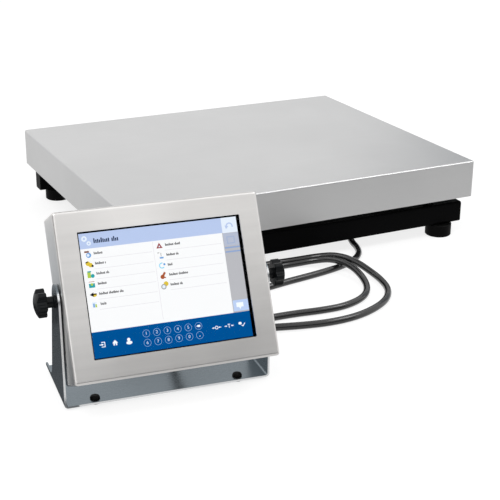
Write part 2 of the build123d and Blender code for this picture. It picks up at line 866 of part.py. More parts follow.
def deck_plate():
    """Plate under the deck tubes, on the free end of the load cell."""
    start = -cell_length / 2 - 2
    plate = block(start, start + deck_plate_length, -deck_plate_width / 2, deck_plate_width / 2,
                  plate_bottom, deck_bottom)
    plate = fillet(plate.edges().filter_by(Axis.Z), 4)
    for x, y in cell_screw_places(-1):
        plate -= rod(cell_screw_radius + hole_clearance, plate_bottom - 1, deck_bottom + 1, x, y)
    return plate


def deck_pads():
    """Rubber pads on the deck frame, under the pan."""
    pad = chamfer(rod(deck_pad_radius, deck_top, -pan_wall).edges(), 0.5)
    return Compound([Pos(x, y, 0) * pad for x, y in corners(deck_side_x, deck_pad_y)])


# Cable route: (x, y, height of the cable's middle above the floor), from the platform's
# strain relief to the terminal's. It runs under the front rail, turns back under the
# terminal's right side, and lies in two loose loops that pass over the first strand.
lying = cable_diameter / 2
exit_height = gland_z - floor_z
hump = 3 * cable_diameter - lying
platform_exit = platform_gland_place * Pos(0, 0, gland_front + boot_length)
terminal_exit = terminal_gland_place * Pos(0, 0, gland_front + boot_length)
route_start = [
    (91, -127, exit_height), (90, -150, 13.5), (87, -173, 5.0), (81, -194, lying),
    (69, -213, lying), (50, -228, lying), (26, -239, lying), (-3, -245, lying),
    (-33, -250, lying), (-63, -253, lying), (-93, -258, lying), (-121, -257, lying),
    (-149, -261, lying), (-175, -273, lying), (-189, -297, lying), (-182, -324, lying),
    (-158, -338, lying), (-128, -340, lying), (-96, -344, lying), (-65, -346, lying),
    (-35, -341, lying), (-5, -329, lying), (18, -309, lying), (31, -284, 6.0),
    (34, -256, hump), (24, -222, hump), (5, -205, 7.0), (-23, -198, lying),
    (-55, -198, lying), (-90, -203, lying), (-124, -210, lying), (-157, -221, lying),
    (-186, -241, lying), (-204, -271, lying), (-208, -304, lying), (-196, -335, lying),
    (-168, -354, lying), (-134, -362, lying), (-103, -367, lying), (-72, -371, lying),
    (-41, -369, lying), (-11, -360, lying), (17, -347, lying), (37, -325, lying),
    (47, -298, lying), (49, -272, 7.0), (44, -246, hump), (33, -215, hump),
    (14, -196, 7.0), (-14, -187, lying), (-48, -185, lying), (-85, -187, lying),
    (-121, -193, lying), (-157, -201, lying), (-190, -215, lying), (-217, -235, lying),
    (-237, -260, lying), (-249, -288, lying),
]
route_riser = [(-254, -313, 5.2), (-258, -338, 11.5)]
riser_split = 0.5
riser_reach = 24.0


def route_points(points):
    """Route points as vectors in the row frame."""
    return [Vector(x, y, floor_z + height) for x, y, height in points]


def largest_radii(points):
    """For each corner, the arc radius that its two runs allow."""
    radii = []
    for before, corner, after in zip(points, points[1:], points[2:]):
        first = corner - before
        second = after - corner
        turn = math.radians(first.get_angle(second))
        run = min(first.length, second.length)
        radii.append(cable_arc_share * run / math.tan(turn / 2))
    return radii


def cord(points, diameter, name):
    """A round cord along straight runs joined by tangent arcs."""
    radii = largest_radii(points)
    path = FilletPolyline(*points, radius=radii)
    start = Plane(origin=points[0], z_dir=points[1] - points[0])
    solid = sweep(start * Circle(diameter / 2), path=path)
    expected = path.length * math.pi * diameter ** 2 / 4
    print(name, "length", round(path.length, 1), "volume ratio", round(solid.volume / expected, 4))
    print(name, "radii", [round(r) for r in radii])
    return solid


def cable_parts():
    """The cable on the floor, and its riser to the terminal."""
    start = [platform_exit.position] + route_points(route_start)
    rise = route_points(route_riser)
    out = terminal_gland_place * Pos(0, 0, gland_front + boot_length + riser_reach)
    split = start[-1] + (rise[0] - start[-1]) * riser_split
    laid = cord(start + [split], cable_diameter, "scale_cable")
    riser = cord([split] + rise + [out.position, terminal_exit.position], cable_diameter, "cable_riser")
    return laid, riser


def cell_lead():
    """The load cell's own lead, from the cell's end to the back of the gland."""
    middle = (cell_bottom + plate_bottom) / 2
    end = cell_length / 2
    back = gland_plate_y + gland_locknut
    points = [
        Vector(end, 3, middle), Vector(end + 11, 3, middle), Vector(end + 23, -3, middle - 4),
        Vector(end + 27, -17, middle - 15), Vector(end + 21, -32, middle - 31),
        Vector(gland_x, back + 11, gland_z), Vector(gland_x, back, gland_z),
    ]
    return cord(points, lead_diameter, "cell_lead")


def build():
    """Every node of the scale by name."""
    nodes = {"weighing_pan": weighing_pan()}
    for name, side in (("front", -1), ("rear", 1)):
        nodes[name + "_rail"] = base_rail(side)
        nodes["deck_long_" + name] = deck_long(side)
    for name, side in (("left", -1), ("right", 1)):
        nodes["cross_" + name] = cross_tube(side)
        nodes["deck_side_" + name] = deck_side(side)
        nodes["knob_grip_" + name] = knob_grip(side)
        nodes["knob_stud_" + name] = knob_stud(side)
    foot_names = ("front_left", "front_right", "rear_left", "rear_right")
    for name, (x, y) in zip(foot_names, corners(foot_x, rail_y)):
        nodes["foot_stud_" + name] = foot_stud(x, y)
        nodes["foot_pad_" + name] = foot_pad(x, y)
    for make in (rail_caps, cell_spacer, load_cell, gauge_potting, cell_screws, deck_screws,
                 foot_bushes, lock_nuts, overload_stops, level_holder, level_lens, gland_plate,
                 bracket, bracket_feet, front_shell, screen_gasket, touch_glass, lcd_module,
                 lcd_carrier, main_board, board_parts, rear_cover, cover_gasket, cover_screws,
                 panel_connectors, pivot_bushes, pivot_washers, deck_plate, deck_pads, cell_lead):
        nodes[make.__name__] = make()
    nodes["platform_gland"] = platform_gland_place * gland(gland_plate_thickness, gland_flats)
    nodes["platform_boot"] = platform_gland_place * Pos(0, 0, gland_front) * boot()
    nodes["terminal_gland"] = terminal_gland_place * gland(cover_wall, gland_flats)
    nodes["terminal_boot"] = terminal_gland_place * Pos(0, 0, gland_front) * boot()
    nodes["scale_cable"], nodes["cable_riser"] = cable_parts()
    return nodes


if __name__ == "__main__":
    os.makedirs("parts", exist_ok=True)
    for name, shape in build().items():
        export_step(shape, f"parts/{name}.step")
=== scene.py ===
"""The looks of a platform weighing scale with a tilting touch-screen terminal.

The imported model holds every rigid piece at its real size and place. This script dresses those
pieces, lays the cable as one smooth line, draws the picture on the display, and sets the stage,
the lamps and the camera. Lengths are in metres.
"""

import json
import logging
import math
from dataclasses import dataclass
from enum import Enum

import bmesh
import bpy
from mathutils import Euler, Matrix, Vector


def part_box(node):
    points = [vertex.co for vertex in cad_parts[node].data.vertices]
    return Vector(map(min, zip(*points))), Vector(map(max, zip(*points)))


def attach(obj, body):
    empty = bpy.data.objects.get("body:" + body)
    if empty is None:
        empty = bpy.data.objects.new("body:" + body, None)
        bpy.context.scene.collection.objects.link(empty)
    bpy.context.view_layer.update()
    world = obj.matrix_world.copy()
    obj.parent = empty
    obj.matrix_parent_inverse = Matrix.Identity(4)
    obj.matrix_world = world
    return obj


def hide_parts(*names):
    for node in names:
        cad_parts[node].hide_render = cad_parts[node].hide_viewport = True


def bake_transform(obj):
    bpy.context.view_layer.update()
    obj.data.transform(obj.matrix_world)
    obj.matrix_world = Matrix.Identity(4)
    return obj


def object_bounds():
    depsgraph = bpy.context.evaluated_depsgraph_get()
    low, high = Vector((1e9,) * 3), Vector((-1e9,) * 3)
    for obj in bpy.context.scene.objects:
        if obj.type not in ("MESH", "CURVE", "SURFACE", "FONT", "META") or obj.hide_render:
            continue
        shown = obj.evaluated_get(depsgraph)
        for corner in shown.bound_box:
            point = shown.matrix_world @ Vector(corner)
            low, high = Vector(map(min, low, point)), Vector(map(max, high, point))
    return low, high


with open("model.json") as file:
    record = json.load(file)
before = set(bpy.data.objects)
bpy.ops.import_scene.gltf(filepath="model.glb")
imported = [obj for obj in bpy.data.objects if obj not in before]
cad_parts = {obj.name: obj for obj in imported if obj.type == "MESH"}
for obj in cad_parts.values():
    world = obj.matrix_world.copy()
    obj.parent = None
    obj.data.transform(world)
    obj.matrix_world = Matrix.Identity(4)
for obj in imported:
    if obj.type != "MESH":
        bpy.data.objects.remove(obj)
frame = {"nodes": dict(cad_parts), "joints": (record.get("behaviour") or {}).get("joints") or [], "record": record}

LOG = logging.getLogger("weighing_scale")
MM = 0.001
CAD_BOX = [list(corner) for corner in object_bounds()]
FLOOR = CAD_BOX[0][2]
FEET = ("front_left", "front_right", "rear_left", "rear_right")
SIDES = ("left", "right")
LINE_STRETCH = (0.018, 1.0, 1.0)
STREAK_SHARE = 0.06
PATCH_SHARE = 0.02
Numbers = tuple[float, ...]


class Graph:
    """Adds shader nodes to a tree and links them."""

    def __init__(self, tree: bpy.types.NodeTree) -> None:
        """Starts on a tree that is cleared first.

        Args:
            tree: the node tree of a material, a world or a group.
        """
        self.tree = tree
        tree.nodes.clear()

    def add(self, kind: str, values: dict | None = None, **settings: object) -> bpy.types.Node:
        """Adds one node.

        Args:
            kind: the node's type name.
            values: socket name or number to a value, or to a socket to link from.
            settings: properties of the node itself.

        Returns:
            The new node.
        """
        node = self.tree.nodes.new(kind)
        for name, value in settings.items():
            setattr(node, name, value)
        self.feed(node, values or {})
        return node

    def feed(self, node: bpy.types.Node, values: dict) -> None:
        """Sets or links a node's inputs.

        Args:
            node: the node.
            values: socket name or number to a value, or to a socket to link from.
        """
        for name, value in values.items():
            if isinstance(value, bpy.types.NodeSocket):
                self.tree.links.new(value, node.inputs[name])
            else:
                node.inputs[name].default_value = value

    def math(self, operation: str, first: object, second: object = 0.0) -> bpy.types.NodeSocket:
        """Adds a math node.

        Args:
            operation: the name of the operation.
            first: the first value or socket.
            second: the second value or socket.

        Returns:
            The node's output.
        """
        node = self.add("ShaderNodeMath", {0: first, 1: second}, operation=operation)
        return node.outputs[0]

    def remap(self, value: object, low: float, high: float) -> bpy.types.NodeSocket:
        """Maps a value of 0 to 1 onto another range.

        Args:
            value: the value or socket.
            low: what 0 becomes.
            high: what 1 becomes.

        Returns:
            The mapped value.
        """
        node = self.add("ShaderNodeMapRange", {"Value": value, "To Min": low, "To Max": high})
        return node.outputs["Result"]

    def around(self, value: object, middle: float, play: float) -> bpy.types.NodeSocket:
        """Maps a value of 0 to 1 onto a middle, less and more its play."""
        return self.remap(value, middle - play, middle + play)

    def mask(self, value: object, low: float, high: float) -> bpy.types.NodeSocket:
        """Maps a range of a value onto 0 to 1, and what lies past it onto the ends."""
        node = self.add("ShaderNodeMapRange", {"Value": value, "From Min": low, "From Max": high})
        return node.outputs["Result"]

    def mix(self, factor: object, first: object, second: object) -> bpy.types.NodeSocket:
        """Mixes two colours.

        Args:
            factor: the share of the second colour.
            first: the first colour or socket.
            second: the second colour or socket.

        Returns:
            The mixed colour.
        """
        node = self.add("ShaderNodeMix", {0: factor, 6: first, 7: second}, data_type="RGBA")
        return node.outputs[2]

    def noise(self, vector: object, scale: object, detail: float, roughness: float = 0.5,
              distortion: float = 0.0) -> bpy.types.NodeSocket:
        """Adds a noise texture.

        Args:
            vector: where it is read.
            scale: its scale, a value or a socket.
            detail: how many finer layers it has.
            roughness: the weight of the finer layers.
            distortion: how much it is stirred.

        Returns:
            Its value.
        """
        node = self.add("ShaderNodeTexNoise", {
            "Vector": vector, "Scale": scale, "Detail": detail, "Roughness": roughness,
            "Distortion": distortion,
        })
        return node.outputs["Fac"]

    def place_group(self, tree: bpy.types.NodeTree, values: dict) -> bpy.types.bpy_prop_collection:
        """Places a shared group.

        Args:
            tree: the group.
            values: what its inputs are fed.

        Returns:
            Its outputs.
        """
        node = self.add("ShaderNodeGroup", node_tree=tree)
        self.feed(node, values)
        return node.outputs

    def bump(self, height: bpy.types.NodeSocket, strength: float, distance: float) -> bpy.types.NodeSocket:
        """Adds a bump.

        Args:
            height: the height, from 0 to 1.
            strength: its strength.
            distance: how deep it is, in millimetres.

        Returns:
            The normal.
        """
        node = self.add("ShaderNodeBump", {"Height": height, "Strength": strength, "Distance": distance * MM})
        return node.outputs[0]

    def straight(self) -> bpy.types.NodeSocket:
        """Returns a mask of the rays that come from the camera or through glass."""
        rays = self.add("ShaderNodeLightPath").outputs
        return self.math("MAXIMUM", rays["Is Camera Ray"], rays["Is Transmission Ray"])

    def mirrored(self) -> bpy.types.NodeSocket:
        """Returns a mask of the rays that come from a glossy surface."""
        return self.add("ShaderNodeLightPath").outputs["Is Glossy Ray"]

    def glow(self, color: object, strength: object = 1.0) -> bpy.types.NodeSocket:
        """Returns a light that a surface gives out, of a colour and a strength."""
        return self.add("ShaderNodeEmission", {"Color": color, "Strength": strength}).outputs[0]

    def blend(self, factor: object, first: object, second: object) -> bpy.types.NodeSocket:
        """Returns a mix of two shaders."""
        return self.add("ShaderNodeMixShader", {0: factor, 1: first, 2: second}).outputs[0]


def shared_group(name: str, inputs: tuple[str, ...], outputs: tuple[str, ...]) -> tuple[
        bpy.types.NodeTree, Graph, bpy.types.Node, bpy.types.Node]:
    """Starts a shader node group, whose sockets are numbers apart from Vector.

    Args:
        name: the group's name.
        inputs: the names of what goes in.
        outputs: the names of what comes out.

    Returns:
        The group's tree, its graph, and its input and output nodes.
    """
    tree = bpy.data.node_groups.new(name, "ShaderNodeTree")
    for way, sockets in (("INPUT", inputs), ("OUTPUT", outputs)):
        for socket in sockets:
            kind = "NodeSocketVector" if socket == "Vector" else "NodeSocketFloat"
            tree.interface.new_socket(socket, in_out=way, socket_type=kind)
    graph = Graph(tree)
    return tree, graph, graph.add("NodeGroupInput"), graph.add("NodeGroupOutput")


def brushed_lines_group() -> bpy.types.NodeTree:
    """Makes the group of long scratch lines along X.

    Returns:
        The group: Vector and Density in, Height and Streak out.
    """
    tree, graph, source, sink = shared_group("brushed_lines", ("Vector", "Density"), ("Height", "Streak"))
    density = source.outputs["Density"]
    stretch = graph.add("ShaderNodeVectorMath", {0: source.outputs["Vector"], 1: LINE_STRETCH},
                        operation="MULTIPLY").outputs[0]
    broad = graph.math("MULTIPLY", density, STREAK_SHARE)
    graph.feed(sink, {
        "Height": graph.noise(stretch, density, detail=3.0, roughness=0.6),
        "Streak": graph.noise(stretch, broad, detail=2.0),
    })
    return tree


def fine_texture_group() -> bpy.types.NodeTree:
    """Makes the group of a fine even texture, as of moulded plastic or powder coat.

    Returns:
        The group: Vector and Density in, Height and Patch out.
    """
    tree, graph, source, sink = shared_group("fine_texture", ("Vector", "Density"), ("Height", "Patch"))
    vector, density = source.outputs["Vector"], source.outputs["Density"]
    broad = graph.math("MULTIPLY", density, PATCH_SHARE)
    graph.feed(sink, {
        "Height": graph.noise(vector, density, detail=2.0, roughness=0.55),
        "Patch": graph.noise(vector, broad, detail=3.0, roughness=0.6),
    })
    return tree


def handling_marks_group() -> bpy.types.NodeTree:
    """Makes the group of wiped smears, broad clouds and faint dust.

    Returns:
        The group: Vector in, Smear, Cloud and Dust out.
    """
    tree, graph, source, sink = shared_group("handling_marks", ("Vector",), ("Smear", "Cloud", "Dust"))
    vector = source.outputs["Vector"]
    graph.feed(sink, {
        "Smear": graph.noise(vector, scale=14.0, detail=4.0, roughness=0.55, distortion=0.6),
        "Cloud": graph.noise(vector, scale=7.0, detail=2.0, distortion=0.3),
        "Dust": graph.mask(graph.noise(vector, scale=900.0, detail=1.0), low=0.68, high=0.78),
    })
    return tree


def plain_material(name: str) -> tuple[bpy.types.Material, Graph]:
    """Starts a material with nothing in it.

    Args:
        name: the material's name.

    Returns:
        The material and its graph.
    """
    material = bpy.data.materials.new(name)
    material.use_nodes = True
    return material, Graph(material.node_tree)


@dataclass(frozen=True)
class Finish:
    """What every finish has: a name and a colour."""

    name: str
    color: tuple[float, float, float]

    def start(self) -> tuple[bpy.types.Material, Graph, bpy.types.Node, bpy.types.NodeSocket]:
        """Starts the material.

        Returns:
            The material, its graph, its shader and the socket of object coordinates.
        """
        material, graph = plain_material(self.name)
        shader = graph.add("ShaderNodeBsdfPrincipled")
        graph.add("ShaderNodeOutputMaterial", {"Surface": shader.outputs[0]})
        return material, graph, shader, graph.add("ShaderNodeTexCoord").outputs["Object"]

    def shade(self, share: float) -> tuple[float, float, float, float]:
        """Returns the colour times a share, with full alpha."""
        return (self.color[0] * share, self.color[1] * share, self.color[2] * share, 1.0)


@dataclass(frozen=True)
class BrushedSteel(Finish):
    """Stainless steel with fine brushed lines and broad faint clouds."""

    roughness: float = 0.34
    density: float = 2600.0
    depth: float = 0.02
    spread: float = 0.04
    cloud: float = 0.06
    cloud_edges: tuple[float, float] = (0.36, 0.64)
    turn: tuple[float, float, float] = (0.0, 0.0, 0.0)
    smear_play: float = 0.05
    line_play: float = 0.03
    relief: float = 0.25

    def tint(self, graph: Graph, color: bpy.types.NodeSocket) -> bpy.types.NodeSocket:
        """Returns the colour as it is."""
        return color

    def build(self, groups: dict[str, bpy.types.NodeTree]) -> bpy.types.Material:
        """Builds the material.

        Args:
            groups: the shared node groups.

        Returns:
            The material.
        """
        material, graph, shader, place = self.start()
        turned = graph.add("ShaderNodeMapping", {"Vector": place, "Rotation": self.turn}).outputs[0]
        lines = graph.place_group(groups["brushed_lines"], {"Vector": turned, "Density": self.density})
        marks = graph.place_group(groups["handling_marks"], {"Vector": place})
        streak = graph.mix(lines["Streak"], self.shade(1 - self.spread), self.shade(1 + self.spread))
        light = graph.remap(graph.mask(marks["Cloud"], *self.cloud_edges), 1 - self.cloud, 1.0)
        shaded = graph.add("ShaderNodeVectorMath", {0: streak, 3: light}, operation="SCALE").outputs[0]
        smear = graph.around(marks["Smear"], self.roughness, self.smear_play)
        graph.feed(shader, {
            "Base Color": self.tint(graph, shaded),
            "Roughness": graph.math("ADD", smear, graph.around(lines["Height"], 0.0, self.line_play)),
            "Normal": graph.bump(lines["Height"], self.relief, self.depth),
            "Metallic": 1.0,
        })
        return material


@dataclass(frozen=True)
class EdgeHighlightSheet(BrushedSteel):
    """Satin sheet steel with a painted highlight on the cut edges that face front and back."""

    highlight_way: tuple[float, float, float] = (0.0, 1.0, 0.0)
    painted_edge_highlight: tuple[float, float, float, float] = (0.88, 0.89, 0.90, 1.0)
    highlight_facing: tuple[float, float] = (0.6, 0.8)

    def tint(self, graph: Graph, color: bpy.types.NodeSocket) -> bpy.types.NodeSocket:
        """Paints a highlight on the faces that look along the given way.

        Args:
            graph: the material's graph.
            color: the colour of the sheet's faces.

        Returns:
            The colour with the painted edge highlight.
        """
        # Painted highlight: faces that look along the given way, to the front and to the back, take a bright
        # colour.
        normal = graph.add("ShaderNodeNewGeometry").outputs["True Normal"]
        facing = graph.add("ShaderNodeVectorMath", {0: normal, 1: self.highlight_way}, operation="DOT_PRODUCT")
        size = graph.math("ABSOLUTE", facing.outputs["Value"])
        return graph.mix(graph.mask(size, *self.highlight_facing), color, self.painted_edge_highlight)


@dataclass(frozen=True)
class Textured(Finish):
    """A surface with a fine even texture: moulded plastic, rubber, powder coat or cast metal."""

    roughness: float = 0.45
    density: float = 1800.0
    depth: float = 0.03
    metallic: float = 0.0
    coat: float = 0.0
    specular: float = 0.5
    dust: float = 0.02
    patch_play: float = 0.15
    smear_play: float = 0.07
    relief: float = 0.3

    def build(self, groups: dict[str, bpy.types.NodeTree]) -> bpy.types.Material:
        """Builds the material.

        Args:
            groups: the shared node groups.

        Returns:
            The material.
        """
        material, graph, shader, place = self.start()
        texture = graph.place_group(groups["fine_texture"], {"Vector": place, "Density": self.density})
        marks = graph.place_group(groups["handling_marks"], {"Vector": place})
        patchy = graph.mix(texture["Patch"], self.shade(1 - self.patch_play), self.shade(1 + self.patch_play))
        pale = tuple(channel + self.dust for channel in self.color) + (1.0,)
        graph.feed(shader, {
            "Base Color": graph.mix(marks["Dust"], patchy, pale),
            "Roughness": graph.around(marks["Smear"], self.roughness, self.smear_play),
            "Normal": graph.bump(texture["Height"], self.relief, self.depth),
            "Metallic": self.metallic,
            "Coat Weight": self.coat,
            "Specular IOR Level": self.specular,
        })
        return material


@dataclass(frozen=True)
class ClearGlass(Finish):
    """Clear glass with an anti-reflection layer, which its low index stands for, and faint wiped smears."""

    roughness: float = 0.01
    smear_play: float = 0.02
    index: float = 1.05

    def build(self, groups: dict[str, bpy.types.NodeTree]) -> bpy.types.Material:
        """Builds the material.

        Args:
            groups: the shared node groups.

        Returns:
            The material.
        """
        material, graph, shader, place = self.start()
        marks = graph.place_group(groups["handling_marks"], {"Vector": place})
        graph.feed(shader, {
            "Base Color": self.shade(1.0),
            "Roughness": graph.remap(marks["Smear"], self.roughness, self.roughness + self.smear_play),
            "Transmission Weight": 1.0,
            "IOR": self.index,
        })
        return material


@dataclass(frozen=True)
class LitInk(Finish):
    """A colour that the display gives out, with its fine grid of picture points."""

    pitch: float = 0.2
    gap_light: float = 0.9
    strength: float = 1.05
    unlit_share: float = 0.02
    roughness: float = 0.4

    def build(self, groups: dict[str, bpy.types.NodeTree]) -> bpy.types.Material:
        """Builds the material.

        Args:
            groups: the shared node groups.

        Returns:
            The material.
        """
        material, graph, shader, place = self.start()
        points = graph.add("ShaderNodeTexVoronoi", {
            "Vector": place, "Scale": 1.0 / (self.pitch * MM), "Randomness": 0.0,
        }, distance="CHEBYCHEV")
        grid = graph.remap(points.outputs["Distance"], 1.0, self.gap_light)
        graph.feed(shader, {
            "Emission Color": graph.mix(grid, self.shade(self.gap_light), self.shade(1.0)),
            "Emission Strength": self.strength,
            "Base Color": self.shade(self.unlit_share),
            "Roughness": self.roughness,
            "Specular IOR Level": 0.0,
        })
        return material


class Ink(Enum):
    """The display's colours."""

    PAPER = (0.935, 0.935, 0.945)
    HEADER = (0.48, 0.58, 0.83)
    TITLE = (0.02, 0.035, 0.09)
    PALE = (0.78, 0.85, 0.95)
    WORD = (0.01, 0.01, 0.015)
    LINE = (0.72, 0.69, 0.74)
    SIDE = (0.48, 0.48, 0.51)
    TRACK = (0.46, 0.50, 0.62)
    BUTTON = (0.36, 0.44, 0.62)
    SOFT = (0.50, 0.62, 0.88)
    STRIPE = (0.28, 0.38, 0.62)
    BAND = (0.0, 0.080, 0.295)
    WHITE = (0.90, 0.95, 1.0)
    RING = (0.20, 0.36, 0.62)
    NUMBER = (0.60, 0.74, 0.92)
    BROWN = (0.22, 0.09, 0.06)
    BLUE = (0.16, 0.36, 0.70)
    YELLOW = (0.72, 0.53, 0.05)
    GREEN = (0.45, 0.60, 0.08)
    TEAL = (0.03, 0.36, 0.40)
    RED = (0.32, 0.05, 0.05)
    RUST = (0.40, 0.10, 0.04)
    SKY = (0.16, 0.62, 0.88)
    STONE = (0.36, 0.37, 0.36)


@dataclass(frozen=True)
class Axes:
    """The terminal's own frame: its pivot, with right, back and up as seen by the user."""

    origin: Vector
    right: Vector
    back: Vector
    up: Vector

    @staticmethod
    def of_terminal() -> "Axes":
        """Reads the frame from the tilt joint and from a connector on the terminal's back.

        Returns:
            The frame at rest.
        """
        tilt = next(joint for joint in frame["joints"] if joint["name"] == "terminal_tilt")
        port = next(mount for mount in frame["record"]["mounts"] if mount["name"] == "power_port")
        right = Vector(tilt["axis"]).normalized()
        back = Vector(port["axis"]).normalized()
        return Axes(Vector(tilt["pos_m"]), right, back, right.cross(back))

    def matrix(self) -> Matrix:
        """Returns the matrix from this frame to the row frame."""
        turn = Matrix((self.right, self.back, self.up)).transposed().to_4x4()
        return Matrix.Translation(self.origin) @ turn

    def extent(self, node: str) -> tuple[Vector, Vector]:
        """Measures a node in this frame.

        Args:
            node: the node's name.

        Returns:
            Its lowest and highest corners along right, back and up.
        """
        inverse = self.matrix().inverted()
        points = [inverse @ vertex.co for vertex in frame["nodes"][node].data.vertices]
        low = Vector(min(point[i] for point in points) for i in range(3))
        high = Vector(max(point[i] for point in points) for i in range(3))
        return low, high


def show_mesh(name: str, mesh: bpy.types.Mesh, smooth: bool = False) -> bpy.types.Object:
    """Puts a mesh in the scene.

    Args:
        name: the piece's name.
        mesh: its mesh.
        smooth: whether its faces are shaded smooth.

    Returns:
        The object, at the origin.
    """
    for face in mesh.polygons:
        face.use_smooth = smooth
    piece = bpy.data.objects.new(name, mesh)
    bpy.context.scene.collection.objects.link(piece)
    return piece


def new_piece(name: str, bm: bmesh.types.BMesh) -> bpy.types.Object:
    """Makes an object from a mesh that is being built.

    Args:
        name: the piece's name.
        bm: the mesh, which is freed.

    Returns:
        The object, at the origin.
    """
    bmesh.ops.recalc_face_normals(bm, faces=bm.faces)
    mesh = bpy.data.meshes.new(name)
    bm.to_mesh(mesh)
    bm.free()
    return show_mesh(name, mesh)


class Dresser:
    """Gives the model's own nodes their finishes."""

    nodes_of = {
        "pan_steel": ("weighing_pan",),
        "housing_steel": ("front_shell", "rear_cover"),
        "bracket_steel": ("bracket",),
        "frame_coat": (
            "front_rail", "rear_rail", "deck_long_front", "deck_long_rear", "deck_plate", "gland_plate",
            "lock_nuts", "overload_stops",
            *(f"{tube}_{side}" for tube in ("cross", "deck_side") for side in SIDES),
        ),
        "zinc_plate": (
            "cell_screws", "deck_screws", "foot_bushes", "cover_screws", "pivot_bushes", "lcd_carrier",
            "cell_spacer", *(f"foot_stud_{foot}" for foot in FEET), *(f"knob_stud_{side}" for side in SIDES),
        ),
        "black_plastic": (
            *(f"foot_pad_{foot}" for foot in FEET), "rail_caps", "level_holder", "platform_gland",
            "terminal_gland", "pivot_washers",
        ),
        "knob_plastic": tuple(f"knob_grip_{side}" for side in SIDES),
        "black_rubber": (
            "deck_pads", "bracket_feet", "platform_boot", "terminal_boot", "screen_gasket", "cover_gasket",
            "gauge_potting", "cell_lead",
        ),
        "cell_aluminium": ("load_cell",),
        "nickel_plate": ("panel_connectors",),
        "touch_glass": ("touch_glass",),
        "vial_liquid": ("level_lens",),
        "display_body": ("lcd_module",),
        "solder_mask": ("main_board",),
        "chip_resin": ("board_parts",),
    }

    def __init__(self, axes: Axes) -> None:
        """Builds the shared groups and every finish once.

        Args:
            axes: the terminal's frame, which its brushed lines follow.
        """
        self.groups = {
            "brushed_lines": brushed_lines_group(),
            "fine_texture": fine_texture_group(),
            "handling_marks": handling_marks_group(),
        }
        tilted = tuple(axes.matrix().to_3x3().inverted().to_euler())
        ahead = (-axes.right.y, axes.right.x, 0.0)
        finishes = (
            BrushedSteel("pan_steel", (0.652, 0.652, 0.652), roughness=0.40, density=2200.0, spread=0.012,
                         cloud=0.04),
            BrushedSteel("housing_steel", (0.87, 0.853, 0.835), spread=0.06, cloud=0.16, turn=tilted),
            # The bracket's cut edges that face front and back carry a painted highlight.
            EdgeHighlightSheet("bracket_steel", (0.195, 0.228, 0.252), roughness=0.27, depth=0.004, spread=0.03,
                     turn=tilted, highlight_way=ahead),
            Textured("frame_coat", (0.002, 0.002, 0.0022), density=1400.0, specular=0.03, dust=0.003),
            Textured("zinc_plate", (0.55, 0.56, 0.57), roughness=0.3, metallic=1.0, density=900.0),
            Textured("cell_aluminium", (0.72, 0.73, 0.74), roughness=0.36, metallic=1.0, density=2600.0),
            Textured("nickel_plate", (0.55, 0.53, 0.50), roughness=0.22, metallic=1.0, density=700.0),
            Textured("knob_plastic", (0.004, 0.005, 0.006), roughness=0.30, density=2400.0, specular=0.19,
                     dust=0.004),
            Textured("black_plastic", (0.003, 0.003, 0.003), density=2000.0, specular=0.05, dust=0.003),
            Textured("black_rubber", (0.004, 0.004, 0.004), roughness=0.55, density=1600.0, specular=0.12,
                     dust=0.006),
            Textured("cable_jacket", (0.010, 0.010, 0.0105), roughness=0.22, density=1500.0, coat=0.8,
                     specular=0.35, depth=0.02),
            Textured("display_body", (0.004, 0.004, 0.005), roughness=0.25, density=3000.0, specular=0.1,
                     dust=0.0),
            Textured("solder_mask", (0.01, 0.10, 0.035), roughness=0.35, density=1200.0, coat=0.3),
            Textured("chip_resin", (0.02, 0.02, 0.021), roughness=0.5, density=2500.0),
            Textured("vial_liquid", (0.35, 0.62, 0.08), roughness=0.12, density=300.0, coat=1.0),
            ClearGlass("touch_glass", (0.97, 0.98, 0.98)),
        )
        self.materials = {finish.name: finish.build(self.groups) for finish in finishes}

    def dress(self, mesh: bpy.types.Mesh, finish: str) -> None:
        """Gives a mesh one finish.

        Args:
            mesh: the mesh.
            finish: the finish's name.
        """
        mesh.materials.clear()
        mesh.materials.append(self.materials[finish])

    def dress_all(self) -> None:
        """Dresses every node of the model."""
        for finish, names in self.nodes_of.items():
            for name in names:
                self.dress(frame["nodes"][name].data, finish)
                LOG.info("dressed %s in %s", name, finish)


